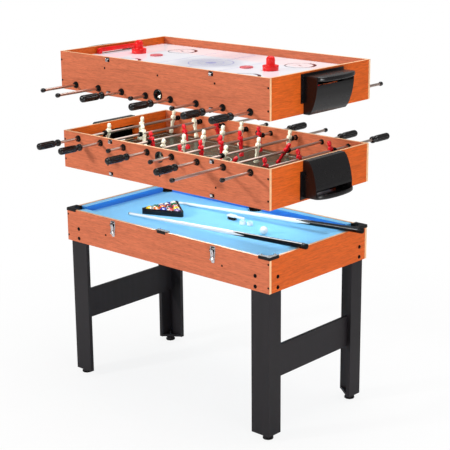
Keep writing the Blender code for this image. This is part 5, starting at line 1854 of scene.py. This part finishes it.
class TABLE_OT_stage(Maker, bpy.types.Operator):
    """Floor, soft light, backdrop and camera"""

    bl_idname = "game_table.stage"
    bl_label = "Floor, light and camera"

    def make(self):
        scene = bpy.context.scene
        self.make_floor(scene)
        self.make_world(scene)
        for light in LIGHTS:
            area_light(*light)
        self.make_camera(scene)
        scene.view_settings.view_transform = "Standard"

    def make_camera(self, scene):
        camera = bpy.data.cameras.new("camera")
        camera.lens, camera.sensor_width, camera.clip_end = CAMERA_LENS, CAMERA_SENSOR, CAMERA_FAR
        item = bpy.data.objects.new("camera", camera)
        scene.collection.objects.link(item)
        yaw, pitch, roll = CAMERA_YAW, CAMERA_PITCH, CAMERA_ROLL
        ahead = Vector((math.sin(yaw) * math.cos(pitch), math.cos(yaw) * math.cos(pitch), math.sin(pitch)))
        right = Vector((math.cos(yaw), -math.sin(yaw), 0))
        above = right.cross(ahead)
        level = right * math.cos(roll) + above * math.sin(roll)
        upright = -right * math.sin(roll) + above * math.cos(roll)
        turn = Matrix((level, upright, -ahead)).transposed().to_4x4()
        item.matrix_world = moved(Vector(CAMERA_PLACE) + MIDDLE) @ turn
        scene.camera = item

    def make_floor(self, scene):
        floor = Finish("studio_floor", roughness=0.8)
        floor.colour(floor.shades(floor.noise(3, 3.0), WHITE, 0.93, 0.96))
        fade = {"Value": floor.length(floor.place()), "_1": FADE_NEAR, "_2": FADE_FAR}
        share = floor.node("ShaderNodeMapRange", **fade, _3=FADE_LEAST, _4=FADE_MOST).outputs[0]
        path = floor.node("ShaderNodeLightPath")
        seen = floor.maths("MULTIPLY", path.outputs["Is Camera Ray"], share)
        glow = floor.node("ShaderNodeEmission", Color=(1, 1, 1, 1), Strength=1.0).outputs[0]
        mixed = floor.node("ShaderNodeMixShader", _0=seen, _1=floor.shader.outputs[0], _2=glow).outputs[0]
        floor.tree.links.new(mixed, floor.tree.nodes["Material Output"].inputs["Surface"])
        shape = bmesh.new()
        bmesh.ops.create_circle(shape, cap_ends=True, segments=64, radius=FLOOR_RADIUS)
        mesh = bpy.data.meshes.new("studio_floor")
        shape.to_mesh(mesh)
        shape.free()
        mesh.materials.append(floor.material)
        item = bpy.data.objects.new("studio_floor", mesh)
        item.location = (0, 0, -FLOOR_DROP)
        scene.collection.objects.link(item)

    def make_world(self, scene):
        world = bpy.data.worlds.new("studio")
        world.use_nodes = True
        nodes, links = world.node_tree.nodes, world.node_tree.links
        soft, white = nodes["Background"], nodes.new("ShaderNodeBackground")
        for background, strength in ((soft, SOFT_LIGHT), (white, 1.0)):
            background.inputs["Color"].default_value = (1, 1, 1, 1)
            background.inputs["Strength"].default_value = strength
        path = nodes.new("ShaderNodeLightPath")
        mixed = nodes.new("ShaderNodeMixShader")
        links.new(path.outputs["Is Camera Ray"], mixed.inputs[0])
        links.new(soft.outputs[0], mixed.inputs[1])
        links.new(white.outputs[0], mixed.inputs[2])
        links.new(mixed.outputs[0], nodes["World Output"].inputs["Surface"])
        scene.world = world


OPERATORS = (
    TABLE_OT_boards, TABLE_OT_hockey_walls, TABLE_OT_legs, TABLE_OT_bed, TABLE_OT_pockets,
    TABLE_OT_fasteners, TABLE_OT_latches, TABLE_OT_catches, TABLE_OT_rack, TABLE_OT_racked_balls,
    TABLE_OT_cue_ball, TABLE_OT_cues, TABLE_OT_chalk, TABLE_OT_brush, TABLE_OT_goal_boxes,
    TABLE_OT_bushings, TABLE_OT_foosball_rods, TABLE_OT_hockey_rods, TABLE_OT_decks,
    TABLE_OT_goal_guards, TABLE_OT_hockey_pieces, TABLE_OT_stage,
)


class TABLE_PT_game_table(bpy.types.Panel):
    """Settings of the game table and the buttons that make its pieces"""

    bl_idname = "TABLE_PT_game_table"
    bl_label = "Multi game table"
    bl_space_type = "VIEW_3D"
    bl_region_type = "UI"
    bl_category = "Game table"

    def draw(self, context):
        layout = self.layout
        for settings in (colours(), sizes()):
            box = layout.box()
            for name in settings.__annotations__:
                box.prop(settings, name)
        for operator in OPERATORS:
            layout.operator(operator.bl_idname)


CLASSES = (TableColours, TableSizes) + OPERATORS + (TABLE_PT_game_table,)


def register():
    for item in CLASSES:
        bpy.utils.register_class(item)
    bpy.types.Scene.game_table_colours = bpy.props.PointerProperty(type=TableColours)
    bpy.types.Scene.game_table_sizes = bpy.props.PointerProperty(type=TableSizes)


def unregister():
    del bpy.types.Scene.game_table_sizes
    del bpy.types.Scene.game_table_colours
    for item in reversed(CLASSES):
        bpy.utils.unregister_class(item)


def main():
    register()
    for operator in OPERATORS:
        group, name = operator.bl_idname.split(".")
        getattr(getattr(bpy.ops, group), name)()


if __name__ == "__main__":
    main()
